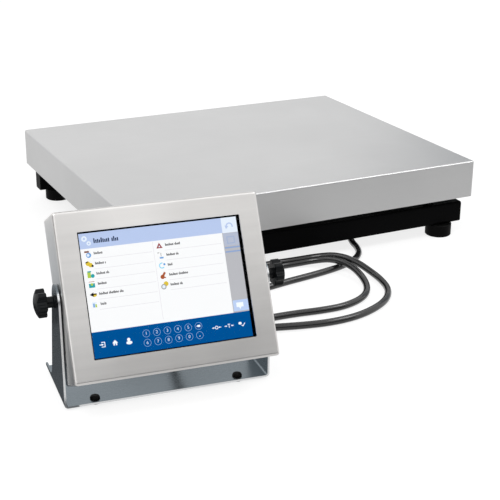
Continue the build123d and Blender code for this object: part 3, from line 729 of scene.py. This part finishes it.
@dataclass
class TableCable:
    """The cable from the platform to the terminal, with its two loose loops on the table."""

    axes: Axes
    diameter: float = 8.5 * MM
    length: float = 1.835
    lying: float = diameter / 2
    crossing_play: float = 0.8 * MM
    hump: float = lying + diameter + crossing_play
    exit_height: float = 24 * MM
    riser_reach: float = 24 * MM
    blend_lean: Numbers = (-0.60, -0.40, 0.69)
    route: tuple[Numbers, ...] = (
        # down to the table
        (0.091, -0.127, exit_height), (0.085, -0.150, 0.0135), (0.080, -0.172, 0.005),
        # the first loop
        (0.077, -0.191, lying), (0.068, -0.211, lying), (0.050, -0.228, lying),
        (0.026, -0.239, lying), (-0.003, -0.246, lying), (-0.033, -0.251, lying),
        (-0.063, -0.255, lying), (-0.093, -0.261, lying), (-0.121, -0.259, lying),
        (-0.149, -0.261, lying), (-0.176, -0.271, lying), (-0.192, -0.296, lying),
        (-0.185, -0.325, lying), (-0.159, -0.340, lying), (-0.127, -0.340, lying),
        (-0.096, -0.342, lying), (-0.065, -0.347, lying), (-0.034, -0.348, lying),
        (-0.002, -0.336, lying), (0.018, -0.313, lying), (0.027, -0.286, 0.007),
        # over the first run
        (0.025, -0.262, hump), (0.015, -0.232, hump),
        # the second loop, round the first
        (-0.002, -0.215, 0.008), (-0.025, -0.207, lying), (-0.056, -0.206, lying),
        (-0.091, -0.211, lying), (-0.125, -0.217, lying), (-0.157, -0.226, lying),
        (-0.186, -0.243, lying), (-0.204, -0.271, lying), (-0.208, -0.304, lying),
        (-0.196, -0.335, lying), (-0.168, -0.355, lying), (-0.135, -0.365, lying),
        (-0.104, -0.374, lying), (-0.072, -0.380, lying), (-0.040, -0.379, lying),
        (-0.010, -0.370, lying), (0.019, -0.353, lying), (0.038, -0.328, lying),
        (0.046, -0.300, lying), (0.045, -0.276, 0.007),
        # over the first run again
        (0.037, -0.252, hump), (0.026, -0.223, hump),
        # behind the loops and round to the terminal
        (0.008, -0.205, 0.008), (-0.017, -0.196, lying), (-0.049, -0.194, lying),
        (-0.086, -0.196, lying), (-0.122, -0.201, lying), (-0.157, -0.206, lying),
        (-0.190, -0.217, lying), (-0.217, -0.235, lying), (-0.237, -0.260, lying),
        (-0.249, -0.288, lying), (-0.254, -0.313, 0.0052), (-0.258, -0.338, 0.0115),
    )

    def __post_init__(self) -> None:
        """Finds where the cable leaves the platform and where it enters the terminal."""
        low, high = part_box("platform_boot")
        self.exit = Vector(((low.x + high.x) / 2, low.y, (low.z + high.z) / 2))
        low, high = self.axes.extent("terminal_boot")
        middle = Vector(((low.x + high.x) / 2, high.y, (low.z + high.z) / 2))
        self.mouth = self.axes.matrix() @ middle

    def points(self) -> list[Vector]:
        """Returns the control points from the platform to the terminal."""
        laid = [Vector((x, y, FLOOR + height)) for x, y, height in self.route]
        return [self.exit] + laid + [self.mouth + self.riser_reach * self.axes.back, self.mouth]

    def line(self) -> bpy.types.Object:
        """Makes the smooth line as a curve with no thickness.

        Returns:
            The curve's object, not linked to the scene.
        """
        curve = bpy.data.curves.new("cable_line", "CURVE")
        curve.dimensions = "3D"
        spline = curve.splines.new("NURBS")
        points = self.points()
        spline.points.add(len(points) - 1)
        for target, point in zip(spline.points, points):
            target.co = (*point, 1.0)
        spline.order_u = 3
        spline.use_endpoint_u = True
        spline.resolution_u = 8
        return bpy.data.objects.new("cable_line", curve)

    def build(self, dresser: Dresser) -> bpy.types.Object:
        """Args:
            dresser: the finishes.

        Returns:
            The cable.
        """
        line = self.line()
        path = [vertex.co.copy() for vertex in bpy.data.meshes.new_from_object(line).vertices]
        line.data.bevel_depth = self.diameter / 2
        line.data.bevel_resolution = 4
        line.data.use_fill_caps = True
        mesh = bpy.data.meshes.new_from_object(line)
        mesh.name = "table_cable"
        cable = show_mesh("table_cable", mesh, smooth=True)
        dresser.dress(mesh, "cable_jacket")
        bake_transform(cable)
        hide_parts("scale_cable", "cable_riser")
        LOG.info("laid the cable along %d points", len(path))
        return cable


@dataclass
class BendingCell:
    """The load cell and its sealing compound, which in the real scale bend a little as the deck sinks under a
    load; here they are remade with their doubled vertices joined.
    """

    finishes: tuple[tuple[str, str], ...] = (
        ("load_cell", "cell_aluminium"), ("gauge_potting", "black_rubber"),
    )
    stiff_share: float = 0.32
    join_distance: float = 0.001 * MM

    def build(self, dresser: Dresser) -> None:
        """Builds both pieces, with their doubled vertices joined, and hides the model's own nodes; in the real
        scale the cell is fixed to the base at one end and to the deck at the other.

        Args:
            dresser: the finishes.
        """
        for name, finish in self.finishes:
            bm = bmesh.new()
            bm.from_mesh(frame["nodes"][name].data)
            bmesh.ops.remove_doubles(bm, verts=bm.verts, dist=self.join_distance)
            piece = new_piece(f"{name}_bending", bm)
            dresser.dress(piece.data, finish)
            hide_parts(name)
            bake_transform(piece)
            LOG.info("made %s bend with the deck", name)


@dataclass
class Pen:
    """Draws thin raised shapes on the display's front, in millimetres from its middle."""

    bm: bmesh.types.BMesh
    inks: list[Ink]
    plane: Matrix
    thickness: float = 0.02
    layer_step: float = 0.03
    arc_steps: int = 20
    grow: float = 1.0
    about: tuple[float, float] = (0.0, 0.0)

    def _ink(self, verts: list, ink: Ink) -> None:
        """Gives new vertices' faces an ink.

        Args:
            verts: the vertices.
            ink: the colour.
        """
        if ink not in self.inks:
            self.inks.append(ink)
        index = self.inks.index(ink)
        for face in {face for vert in verts for face in vert.link_faces}:
            face.material_index = index

    def _place(self, x: float, z: float, layer: int, turn: float) -> Matrix:
        """Works out where a shape goes.

        Args:
            x: its middle, to the right.
            z: its middle, upwards.
            layer: how many steps it stands proud.
            turn: its turn in degrees, anticlockwise.

        Returns:
            Its place, turn and growth.
        """
        depth = layer * self.layer_step
        x = self.about[0] + self.grow * (x - self.about[0])
        z = self.about[1] + self.grow * (z - self.about[1])
        size = Matrix.Diagonal((self.grow, 1.0, self.grow, 1.0))
        move = Matrix.Translation(Vector((x, -depth, z)) * MM)
        return self.plane @ move @ size @ Matrix.Rotation(math.radians(-turn), 4, "Y")

    def _size(self, width: float, height: float) -> Matrix:
        """Returns the scale of something as thick as the ink."""
        return Matrix.Diagonal((width * MM, self.thickness * MM, height * MM, 1.0))

    def bar(self, x: float, z: float, width: float, height: float, ink: Ink, layer: int = 1,
            turn: float = 0.0) -> None:
        """Draws a filled rectangle.

        Args:
            x: its middle, to the right.
            z: its middle, upwards.
            width: its width.
            height: its height.
            ink: its colour.
            layer: how many steps it stands proud.
            turn: its turn in degrees, anticlockwise.
        """
        place = self._place(x, z, layer, turn) @ self._size(width, height)
        made = bmesh.ops.create_cube(self.bm, size=1.0, matrix=place)
        self._ink(made["verts"], ink)

    def box(self, left: float, right: float, bottom: float, top: float, ink: Ink, layer: int = 1) -> None:
        """Draws a filled rectangle between its sides."""
        self.bar((left + right) / 2, (bottom + top) / 2, right - left, top - bottom, ink, layer)

    def shape(self, x: float, z: float, radius: float, sides: int, ink: Ink, layer: int = 2,
              turn: float = 0.0, flat: float = 1.0) -> None:
        """Draws a filled regular shape: a disc, or a triangle that points up.

        Args:
            x: its middle, to the right.
            z: its middle, upwards.
            radius: its radius.
            sides: how many sides it has.
            ink: its colour.
            layer: how many steps it stands proud.
            turn: its turn in degrees, anticlockwise.
            flat: its height as a share of its width.
        """
        stand = Matrix.Rotation(math.radians(90), 4, "X")
        squeeze = Matrix.Diagonal(Vector((1.0, 1.0, flat, 1.0)))
        place = self._place(x, z, layer, turn) @ squeeze @ stand
        made = bmesh.ops.create_cone(self.bm, cap_ends=True, segments=sides, radius1=radius * MM,
                                     radius2=radius * MM, depth=self.thickness * MM, matrix=place)
        self._ink(made["verts"], ink)

    def ring(self, x: float, z: float, radius: float, stroke: float, ink: Ink, layer: int = 2,
             sweep: float = 360.0, start: float = 0.0) -> None:
        """Draws a ring or an arc.

        Args:
            x: its middle, to the right.
            z: its middle, upwards.
            radius: its outer radius.
            stroke: how wide its line is.
            ink: its colour.
            layer: how many steps it stands proud.
            sweep: how much of the turn it covers, in degrees.
            start: where it starts, in degrees from the right, anticlockwise.
        """
        place = self._place(x, z, layer, start)
        middle = Matrix.Translation(Vector((radius - stroke / 2, 0, 0)) * MM)
        quarter = Matrix.Rotation(math.radians(90), 4, "Z")
        section = bmesh.ops.create_grid(self.bm, x_segments=1, y_segments=1, size=0.5,
                                        matrix=place @ middle @ self._size(stroke, 1.0) @ quarter)
        face = section["verts"][0].link_faces[0]
        axis = (place.to_3x3() @ Vector((0, -1, 0))).normalized()
        spun = bmesh.ops.spin(
            self.bm, geom=[face, *face.edges, *face.verts], cent=place.translation, axis=axis,
            angle=math.radians(sweep), steps=self.arc_steps, use_merge=sweep >= 360.0, use_duplicate=False)
        verts = {part for part in spun["geom_last"] if isinstance(part, bmesh.types.BMVert)}
        reached = set(verts)
        while verts:
            verts = {edge.other_vert(vert) for vert in verts for edge in vert.link_edges} - reached
            reached |= verts
        self._ink(list(reached), ink)


@dataclass
class ScreenPicture:
    """The picture on the display: a menu with small strokes for words, and a key band.

    Lengths are in millimetres from the display's middle. A mark is one of the pen's methods, its
    place, and what that method takes after it. Marks of a list are placed from their picture's
    middle, and marks of the band from the middle height of the band's symbols.
    """

    axes: Axes
    dresser: Dresser
    front_gap: float = 0.03
    half_width: float = 79.0
    top: float = 59.5
    bottom: float = -59.5
    header_foot: float = 44.7
    band_top: float = -34.6
    side_x: float = 62.6
    # header
    header_discs: tuple[Numbers, ...] = ((-74.0, 54.3, 2.7, 1.1), (-70.1, 49.6, 2.1, 0.8))
    title: Numbers = (-65.3, 51.6, 26.0, 4.6)
    # lists
    divider_x: float = -8.4
    divider_foot: float = -31.5
    row_step: float = 9.7
    first_row: float = 39.5
    first_line: float = 34.6
    left_labels: Numbers = (10.0, 10.6, 12.5, 10.0, 24.0, 6.0)
    right_labels: Numbers = (16.0, 13.0, 5.5, 20.0, 13.0)
    left_icon_x: float = -72.5
    right_icon_x: float = -2.2
    label_gap: float = 5.9
    label_rise: float = 0.4
    label_height: float = 2.5
    icon_growth: float = 1.25
    left_line: Numbers = (-68.0, -10.0)
    right_line: Numbers = (3.0, 60.0)
    line_half: float = 0.15
    left_pictures: tuple = (
        (
            (Pen.bar, -0.6, 1.8, 3.6, 1.3, Ink.BROWN),
            (Pen.shape, 0.6, -0.9, 2.0, 16, Ink.BLUE),
            (Pen.shape, 0.2, -0.9, 1.1, 12, Ink.PALE, 3),
        ),
        (
            (Pen.shape, -0.8, 0.6, 1.8, 16, Ink.YELLOW),
            (Pen.shape, 1.1, -0.7, 1.7, 16, Ink.YELLOW, 3),
            (Pen.bar, -1.6, 1.6, 2.2, 0.8, Ink.WORD, 4, 20.0),
            (Pen.shape, 2.5, -1.5, 0.9, 10, Ink.WORD, 4),
        ),
        (
            (Pen.bar, -1.0, -0.3, 2.6, 4.6, Ink.GREEN),
            (Pen.bar, -0.6, 2.1, 2.8, 1.0, Ink.TEAL, 3),
            (Pen.shape, 1.6, -1.3, 1.5, 16, Ink.TEAL, 3),
        ),
        (
            (Pen.bar, 0.1, -0.8, 4.6, 3.2, Ink.TEAL),
            (Pen.shape, 0.1, 0.1, 1.0, 12, Ink.GREEN, 3),
            (Pen.bar, 0.1, 2.1, 4.4, 0.4, Ink.RUST),
        ),
        (
            (Pen.shape, 0.9, -0.4, 1.9, 16, Ink.YELLOW, 2, 0.0, 0.7),
            (Pen.shape, -0.7, 0.1, 2.0, 3, Ink.WORD, 3, 90.0),
            (Pen.bar, 1.4, 0.3, 2.6, 0.9, Ink.WORD, 4),
        ),
        (
            (Pen.bar, 0.0, 0.2, 3.4, 4.0, Ink.PALE),
            (Pen.bar, -0.5, -0.4, 1.2, 3.0, Ink.BLUE, 3),
            (Pen.bar, 1.1, -0.8, 1.2, 2.4, Ink.GREEN, 3),
        ),
    )
    right_pictures: tuple = (
        (
            (Pen.shape, 0.0, -0.5, 2.9, 3, Ink.RED),
            (Pen.shape, 0.0, -0.6, 1.0, 3, Ink.PALE, 3),
        ),
        (
            (Pen.bar, -1.6, 2.3, 1.8, 0.6, Ink.STONE),
            (Pen.bar, 0.4, 0.8, 0.5, 2.8, Ink.STONE),
            (Pen.bar, 0.6, -1.7, 3.0, 1.3, Ink.BLUE),
        ),
        (
            (Pen.ring, 0.0, 0.0, 2.3, 0.7, Ink.SKY, 2, 250.0, 70.0),
            (Pen.shape, 2.0, 0.8, 0.9, 12, Ink.BLUE, 3),
        ),
        (
            (Pen.bar, 0.5, 0.9, 1.7, 3.6, Ink.RUST, 2, -35.0),
            (Pen.shape, -0.8, -1.0, 1.7, 14, Ink.RUST, 3),
            (Pen.bar, 0.6, -1.7, 2.4, 0.8, Ink.RUST, 4),
        ),
        (
            (Pen.shape, 1.2, 1.2, 1.9, 16, Ink.YELLOW),
            (Pen.ring, -0.9, -0.9, 2.1, 0.8, Ink.STONE, 4),
            (Pen.shape, -0.9, -0.9, 1.3, 16, Ink.PALE, 3),
        ),
    )
    # side bar
    side_inset: float = 0.8
    corner_gap: float = 0.6
    corner_drop: float = 0.4
    arrow_arc: Numbers = (71.0, 50.6, 3.7, 1.3)
    arrow_tip: Numbers = (67.9, 50.2, 2.3)
    button_foot: float = 31.4
    button_rim: Numbers = (66.4, 74.6, 33.4, 40.6)
    button_face: Numbers = (67.3, 73.7, 34.3, 39.7)
    stripes: Numbers = (29.6, 25.5)
    stripe_half: float = 0.75
    down_foot: float = 1.2
    down_top: float = -22.6
    down_stem: Numbers = (66.6, 73.8, -29.6, -25.2)
    down_tip: Numbers = (70.2, -30.2, 1.5)
    # strokes for words
    stroke_share: float = 0.27
    pitch_share: float = 0.38
    word_pitches: int = 11
    open_pitch: int = 9
    tall_pitches: tuple[int, ...] = (0, 4)
    low_share: float = 0.62
    low_step: float = 0.08
    # keys and symbols in the blue band
    key_x: float = -26.9
    key_step: float = 10.46
    key_columns: int = 6
    key_rows: Numbers = (-42.5, -51.5)
    key_radius: float = 3.7
    key_stroke: float = 0.42
    digits_in_row: int = 5
    digit_size: float = 4.3
    digit_half_depth: float = 0.01
    band_icon_z: float = -47.2
    band_marks: tuple = (
        (Pen.bar, -69.4, 2.2, 3.6, 0.7, Ink.WHITE, 3),
        (Pen.bar, -69.4, -2.2, 3.6, 0.7, Ink.WHITE, 3),
        (Pen.bar, -67.9, 0.0, 0.7, 4.8, Ink.WHITE, 3),
        (Pen.bar, -71.8, 0.0, 2.6, 0.8, Ink.WHITE, 3),
        (Pen.bar, -58.0, -1.1, 3.6, 2.4, Ink.WHITE, 3),
        (Pen.bar, 56.1, 0.4, 0.6, 3.4, Ink.WHITE, 3),
        (Pen.bar, 56.1, 2.2, 2.6, 0.6, Ink.WHITE, 3),
        (Pen.bar, 69.6, -0.9, 0.7, 2.0, Ink.WHITE, 3, 45.0),
        (Pen.bar, 71.4, 0.0, 0.7, 4.0, Ink.WHITE, 3, -40.0),
        (Pen.shape, -70.4, 0.0, 1.4, 3, Ink.WHITE, 3, -90.0),
        (Pen.shape, -58.0, 0.9, 3.3, 3, Ink.WHITE, 3, 0.0, 0.6),
        (Pen.bar, -58.0, -1.5, 1.0, 1.6, Ink.BAND, 4),
        (Pen.shape, -44.6, 1.4, 1.6, 16, Ink.WHITE, 3),
        (Pen.shape, -44.4, -1.6, 3.0, 16, Ink.WHITE, 3, 0.0, 0.55),
        (Pen.shape, 67.6, 1.6, 1.7, 16, Ink.WHITE, 3, 0.0, 0.8),
        (Pen.ring, 43.3, 0.6, 1.7, 0.6, Ink.WHITE, 3),
    )
    slider_xs: Numbers = (43.3, 56.1)
    slider_rise: float = 0.6
    slider_bar: Numbers = (4.0, 1.4, 0.6)
    slider_tip: Numbers = (2.8, 1.0)

    def __post_init__(self) -> None:
        """Finds the display's front and takes up a pen."""
        low, _ = self.axes.extent("lcd_module")
        self.plane = self.axes.matrix() @ Matrix.Translation((0.0, low.y - self.front_gap * MM, 0.0))
        self.pen = Pen(bmesh.new(), [], self.plane)

    def lists(self) -> tuple:
        """Gathers what each of the two lists is drawn from.

        Returns:
            Each list's label lengths, pictures, the pictures' place and the ends of its lines.
        """
        return (
            (self.left_labels, self.left_pictures, self.left_icon_x, self.left_line),
            (self.right_labels, self.right_pictures, self.right_icon_x, self.right_line),
        )

    def words(self, x: float, z: float, length: float, height: float, ink: Ink) -> None:
        """Draws a row of small strokes that stands for words and spells nothing.

        Args:
            x: its left end.
            z: its middle.
            length: how long it is.
            height: how high a stroke is.
            ink: its colour.
        """
        stroke = self.stroke_share * height
        pitch = self.pitch_share * height
        low = z - height / 2
        for i in range(int(length / pitch)):
            step = i % self.word_pitches
            if step == self.open_pitch:
                continue
            low_height = (self.low_share + self.low_step * (i % 3)) * height
            tall = height if step in self.tall_pitches else low_height
            self.pen.bar(x + pitch * i + stroke / 2, low + tall / 2, stroke, tall, ink, 3)

    def page(self) -> None:
        """Draws the page, its header and its two lists."""
        pen = self.pen
        pen.box(-self.half_width, self.half_width, self.bottom, self.top, Ink.PAPER, 0)
        pen.box(-self.half_width, self.side_x + self.corner_gap, self.header_foot, self.top, Ink.HEADER)
        for x, z, outer, inner in self.header_discs:
            pen.shape(x, z, outer, 20, Ink.PALE)
            pen.shape(x, z, inner, 12, Ink.HEADER, 3)
        self.words(*self.title, Ink.TITLE)
        half = self.line_half
        head = self.header_foot - self.side_inset
        pen.box(self.divider_x - half, self.divider_x + half, self.divider_foot, head, Ink.LINE)
        for labels, _, icon_x, (start, end) in self.lists():
            for i, length in enumerate(labels):
                line = self.first_line - self.row_step * i
                word = self.first_row - self.row_step * i + self.label_rise
                pen.box(start, end, line - half, line + half, Ink.LINE)
                self.words(icon_x + self.label_gap, word, length, self.label_height, Ink.WORD)

    def side_bar(self) -> None:
        """Draws the scroll bar with its buttons."""
        pen = self.pen
        right = self.half_width
        left = self.side_x + self.side_inset
        corner_foot = self.header_foot - self.corner_drop
        track_top = self.header_foot - self.side_inset
        pen.box(self.side_x, right, self.band_top, self.header_foot, Ink.SIDE)
        pen.box(self.side_x + self.corner_gap, right, corner_foot, self.top, Ink.PALE)
        pen.ring(*self.arrow_arc, Ink.HEADER, 3, sweep=200.0, start=-20.0)
        pen.shape(*self.arrow_tip, 3, Ink.HEADER, 4, turn=165.0)
        pen.box(left, right, self.button_foot, track_top, Ink.TRACK, 2)
        pen.box(*self.button_rim, Ink.BUTTON, 3)
        pen.box(*self.button_face, Ink.TRACK, 4)
        for z in self.stripes:
            pen.box(left, right, z - self.stripe_half, z + self.stripe_half, Ink.STRIPE, 2)
        pen.box(left, right, self.band_top + self.down_foot, self.down_top, Ink.SOFT, 2)
        pen.box(*self.down_stem, Ink.WHITE, 3)
        pen.shape(*self.down_tip, 3, Ink.WHITE, 3, turn=180.0)

    def small_pictures(self) -> None:
        """Draws the small pictures of both lists, enlarged about their middles."""
        self.pen.grow = self.icon_growth
        for _, pictures, icon_x, _ in self.lists():
            for row, marks in enumerate(pictures):
                middle = self.first_row - self.row_step * row
                self.pen.about = (icon_x, middle)
                for draw, x, z, *look in marks:
                    draw(self.pen, icon_x + x, middle + z, *look)
        self.pen.grow = 1.0

    def key_band(self) -> None:
        """Draws the blue band with its keys and symbols."""
        pen = self.pen
        pen.box(-self.half_width, self.half_width, self.bottom, self.band_top, Ink.BAND, 2)
        upper, lower = self.key_rows
        columns = [self.key_x + self.key_step * column for column in range(self.key_columns)]
        for z in self.key_rows:
            for x in columns:
                pen.ring(x, z, self.key_radius, self.key_stroke, Ink.RING, 3)
        pen.bar(columns[-1] + 0.5, upper, 2.4, 2.0, Ink.WHITE, 3)
        pen.shape(columns[-1] - 1.0, upper, 1.3, 3, Ink.WHITE, 3, turn=90.0)
        pen.shape(columns[-1], lower - 0.9, 0.45, 8, Ink.WHITE, 3)
        for draw, x, rise, *look in self.band_marks:
            draw(pen, x, self.band_icon_z + rise, *look)
        z = self.band_icon_z + self.slider_rise
        arm, width, height = self.slider_bar
        reach, radius = self.slider_tip
        for x in self.slider_xs:
            for side in (-1, 1):
                pen.bar(x + side * arm, z, width, height, Ink.WHITE, 3)
                pen.shape(x + side * reach, z, radius, 3, Ink.WHITE, 3, turn=side * 90.0)

    def digits(self) -> list[bpy.types.Object]:
        """Draws the numbers on the keys.

        Returns:
            One flat piece for each number.
        """
        pieces = []
        for i, digit in enumerate("1234567890"):
            x = self.key_x + self.key_step * (i % self.digits_in_row)
            z = self.key_rows[i // self.digits_in_row]
            text = bpy.data.curves.new(f"key_{digit}", "FONT")
            text.body = digit
            text.size = self.digit_size * MM
            text.align_x = "CENTER"
            text.align_y = "CENTER"
            text.extrude = self.digit_half_depth * MM
            holder = bpy.data.objects.new(f"key_{digit}", text)
            mesh = bpy.data.meshes.new_from_object(holder)
            layer = 4 * self.pen.layer_step
            stand = Matrix.Rotation(math.radians(90), 4, "X")
            mesh.transform(self.plane @ Matrix.Translation(Vector((x, -layer, z)) * MM) @ stand)
            pieces.append(show_mesh(f"key_number_{digit}", mesh))
        return pieces

    def build(self) -> bpy.types.Object:
        """Builds the picture and fixes it to the terminal.

        Returns:
            The picture.
        """
        self.page()
        self.side_bar()
        self.small_pictures()
        self.key_band()
        picture = new_piece("screen_picture", self.pen.bm)
        for ink in self.pen.inks:
            lit = LitInk(f"lit_{ink.name.lower()}", ink.value)
            picture.data.materials.append(lit.build(self.dresser.groups))
        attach(picture, "head")
        white = LitInk("lit_number", Ink.NUMBER.value).build(self.dresser.groups)
        for piece in self.digits():
            piece.data.materials.append(white)
            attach(piece, "head")
        LOG.info("drew the picture in %d inks", len(self.pen.inks))
        return picture


@dataclass(frozen=True)
class Panel:
    """A flat rectangle that looks at a point."""

    name: str
    place: tuple[float, float, float]
    target: tuple[float, float, float]
    width: float
    height: float

    def stand(self) -> Matrix:
        """Returns its place and turn."""
        aim = Vector(self.target) - Vector(self.place)
        return Matrix.Translation(self.place) @ aim.to_track_quat("-Z", "Y").to_matrix().to_4x4()


@dataclass(frozen=True)
class SoftBox(Panel):
    """One large soft lamp that looks at the scale."""

    power: float

    def build(self) -> None:
        """Builds the lamp."""
        light = bpy.data.lights.new(self.name, "AREA")
        light.shape = "RECTANGLE"
        light.size = self.width
        light.size_y = self.height
        light.energy = self.power
        lamp = bpy.data.objects.new(self.name, light)
        lamp.matrix_world = self.stand()
        bpy.context.scene.collection.objects.link(lamp)


@dataclass(frozen=True)
class Card(Panel):
    """A dark card beside the scale, which shows only as a reflection in the steel."""

    tone: float
    cool: tuple[float, float, float] = (1.0, 1.06, 1.12)
    rise = 2 * MM

    @staticmethod
    def on_floor(name: str, x: float, y: float, width: float, depth: float, tone: float) -> "Card":
        """Returns a card that lies just above the floor and looks up."""
        height = FLOOR + Card.rise
        return Card(name, (x, y, height), (x, y, 1.0), width, depth, tone)

    def build(self) -> None:
        """Builds the card."""
        bm = bmesh.new()
        size = Matrix.Diagonal((self.width, self.height, 1.0, 1.0))
        bmesh.ops.create_grid(bm, x_segments=1, y_segments=1, size=0.5, matrix=self.stand() @ size)
        card = new_piece(self.name, bm)
        material, graph = plain_material(self.name)
        color = (*(self.tone * channel for channel in self.cool), 1.0)
        graph.add("ShaderNodeOutputMaterial", {"Surface": graph.glow(color)})
        card.data.materials.append(material)
        card.visible_camera = False
        card.visible_diffuse = False
        card.visible_transmission = False
        card.visible_shadow = False


@dataclass(frozen=True)
class Studio:
    """The floor, the white surroundings, the lamps and the camera."""

    floor_size: float = 4.0
    floor_gap: float = 0.05 * MM
    soft_strength: float = 0.9
    white: Numbers = (1.0, 1.0, 1.0, 1.0)
    pale: Numbers = (0.80, 0.80, 0.80, 1.0)
    shadow_grey: Numbers = (0.30, 0.30, 0.30, 1.0)
    # Painted shade of the floor as seen in reflections: its glow grows from the front to the back between these
    # places and strengths.
    near_y: float = -0.8
    far_y: float = 0.2
    lens: float = 85.54
    yaw: float = 26.66
    pitch: float = 21.25
    roll: float = 0.54
    eye: Numbers = (-0.7014, -1.4278, 0.4617)
    painted_falloff_near: float = 0.64
    painted_falloff_far: float = 0.84
    lamps: tuple[SoftBox, ...] = (
        SoftBox("key_lamp", (-1.3, -1.1, 1.9), (0.0, -0.1, 0.0), 0.9, 0.9, 14.0),
        SoftBox("edge_lamp", (1.2, -0.9, 1.87), (0.1, -0.2, 0.0), 0.8, 0.8, 9.0),
    )
    cards: tuple[Card, ...] = (
        Card("front_card", (0.2, -2.4, 0.40), (0.2, 0.0, 0.40), 3.6, 1.02, 0.08),
        Card.on_floor("low_card", -0.495, -0.41, 0.21, 0.10, 0.14),
        Card.on_floor("ear_card", -0.465, -0.30, 0.27, 0.12, 0.13),
        Card.on_floor("far_card", -0.465, -0.19, 0.27, 0.10, 0.05),
        Card.on_floor("wall_card", -0.48, -0.02, 0.24, 0.24, 0.46),
        Card.on_floor("side_card", -0.95, -0.50, 0.56, 0.70, 0.16),
        Card("top_card", (0.1, 0.45, 1.4), (-0.3, -0.4, 0.1), 0.7, 0.7, 0.08),
        Card("left_card", (-1.7, -0.40, 0.22), (-0.4, -0.45, 0.0), 0.9, 0.55, 0.04),
        Card("back_card", (2.7, 1.27, 0.7), (0.2, 0.1, 0.0), 2.8, 2.4, 0.36),
    )

    def world(self) -> None:
        """Makes the surroundings: plain soft light, seen as white."""
        world = bpy.data.worlds.new("surroundings")
        world.use_nodes = True
        bpy.context.scene.world = world
        graph = Graph(world.node_tree)
        soft = graph.add("ShaderNodeBackground", {"Color": self.pale, "Strength": self.soft_strength})
        white = graph.add("ShaderNodeBackground", {"Color": self.white, "Strength": 1.0})
        seen = graph.math("MAXIMUM", graph.straight(), graph.mirrored())
        mix = graph.blend(seen, soft.outputs[0], white.outputs[0])
        graph.add("ShaderNodeOutputWorld", {"Surface": mix})

    def floor(self) -> None:
        """Makes the white floor, which keeps a faint shadow of the scale; as seen in reflections it glows with
        painted shade, darker towards the front.
        """
        bm = bmesh.new()
        bmesh.ops.create_grid(bm, x_segments=1, y_segments=1, size=self.floor_size)
        bmesh.ops.translate(bm, verts=bm.verts, vec=(0.0, 0.0, FLOOR - self.floor_gap))
        piece = new_piece("floor", bm)
        material, graph = plain_material("floor_paper")
        shadowed = graph.add("ShaderNodeBsdfDiffuse", {"Color": self.shadow_grey}).outputs[0]
        lit = graph.add("ShaderNodeAddShader", {0: shadowed, 1: graph.glow(self.pale)}).outputs[0]
        plain = graph.add("ShaderNodeBsdfDiffuse", {"Color": self.pale}).outputs[0]
        across = graph.add("ShaderNodeSeparateXYZ", {0: graph.add("ShaderNodeTexCoord").outputs["Object"]})
        # Painted shade: the floor's glow for glossy rays is darker towards the front.
        depth = graph.add("ShaderNodeMapRange", {
            "Value": across.outputs["Y"], "From Min": self.near_y, "From Max": self.far_y,
            "To Min": self.painted_falloff_near, "To Max": self.painted_falloff_far,
        })
        mirror = graph.glow(self.white, depth.outputs["Result"])
        mix = graph.blend(graph.mirrored(), graph.blend(graph.straight(), plain, lit), mirror)
        graph.add("ShaderNodeOutputMaterial", {"Surface": mix})
        piece.data.materials.append(material)

    def camera(self) -> None:
        """Makes the camera at the photograph's place."""
        data = bpy.data.cameras.new("camera")
        data.sensor_width = 36.0
        data.lens = self.lens
        data.clip_start = 0.05
        camera = bpy.data.objects.new("camera", data)
        yaw, pitch, roll = (math.radians(angle) for angle in (self.yaw, self.pitch, self.roll))
        turn = Euler((math.radians(90) - pitch, 0.0, -yaw)).to_matrix() @ Matrix.Rotation(roll, 3, "Z")
        camera.matrix_world = Matrix.Translation(self.eye) @ turn.to_4x4()
        bpy.context.scene.collection.objects.link(camera)
        bpy.context.scene.camera = camera

    def build(self) -> None:
        """Builds the whole studio."""
        self.world()
        self.floor()
        for panel in (*self.lamps, *self.cards):
            panel.build()
        self.camera()
        bpy.context.scene.view_settings.view_transform = "Standard"


def main() -> None:
    """Builds the scene piece by piece."""
    logging.basicConfig(level=logging.INFO)
    axes = Axes.of_terminal()
    Studio().build()
    dresser = Dresser(axes)
    dresser.dress_all()
    BendingCell().build(dresser)
    TableCable(axes).build(dresser)
    ScreenPicture(axes, dresser).build()


if __name__ == "__main__":
    main()
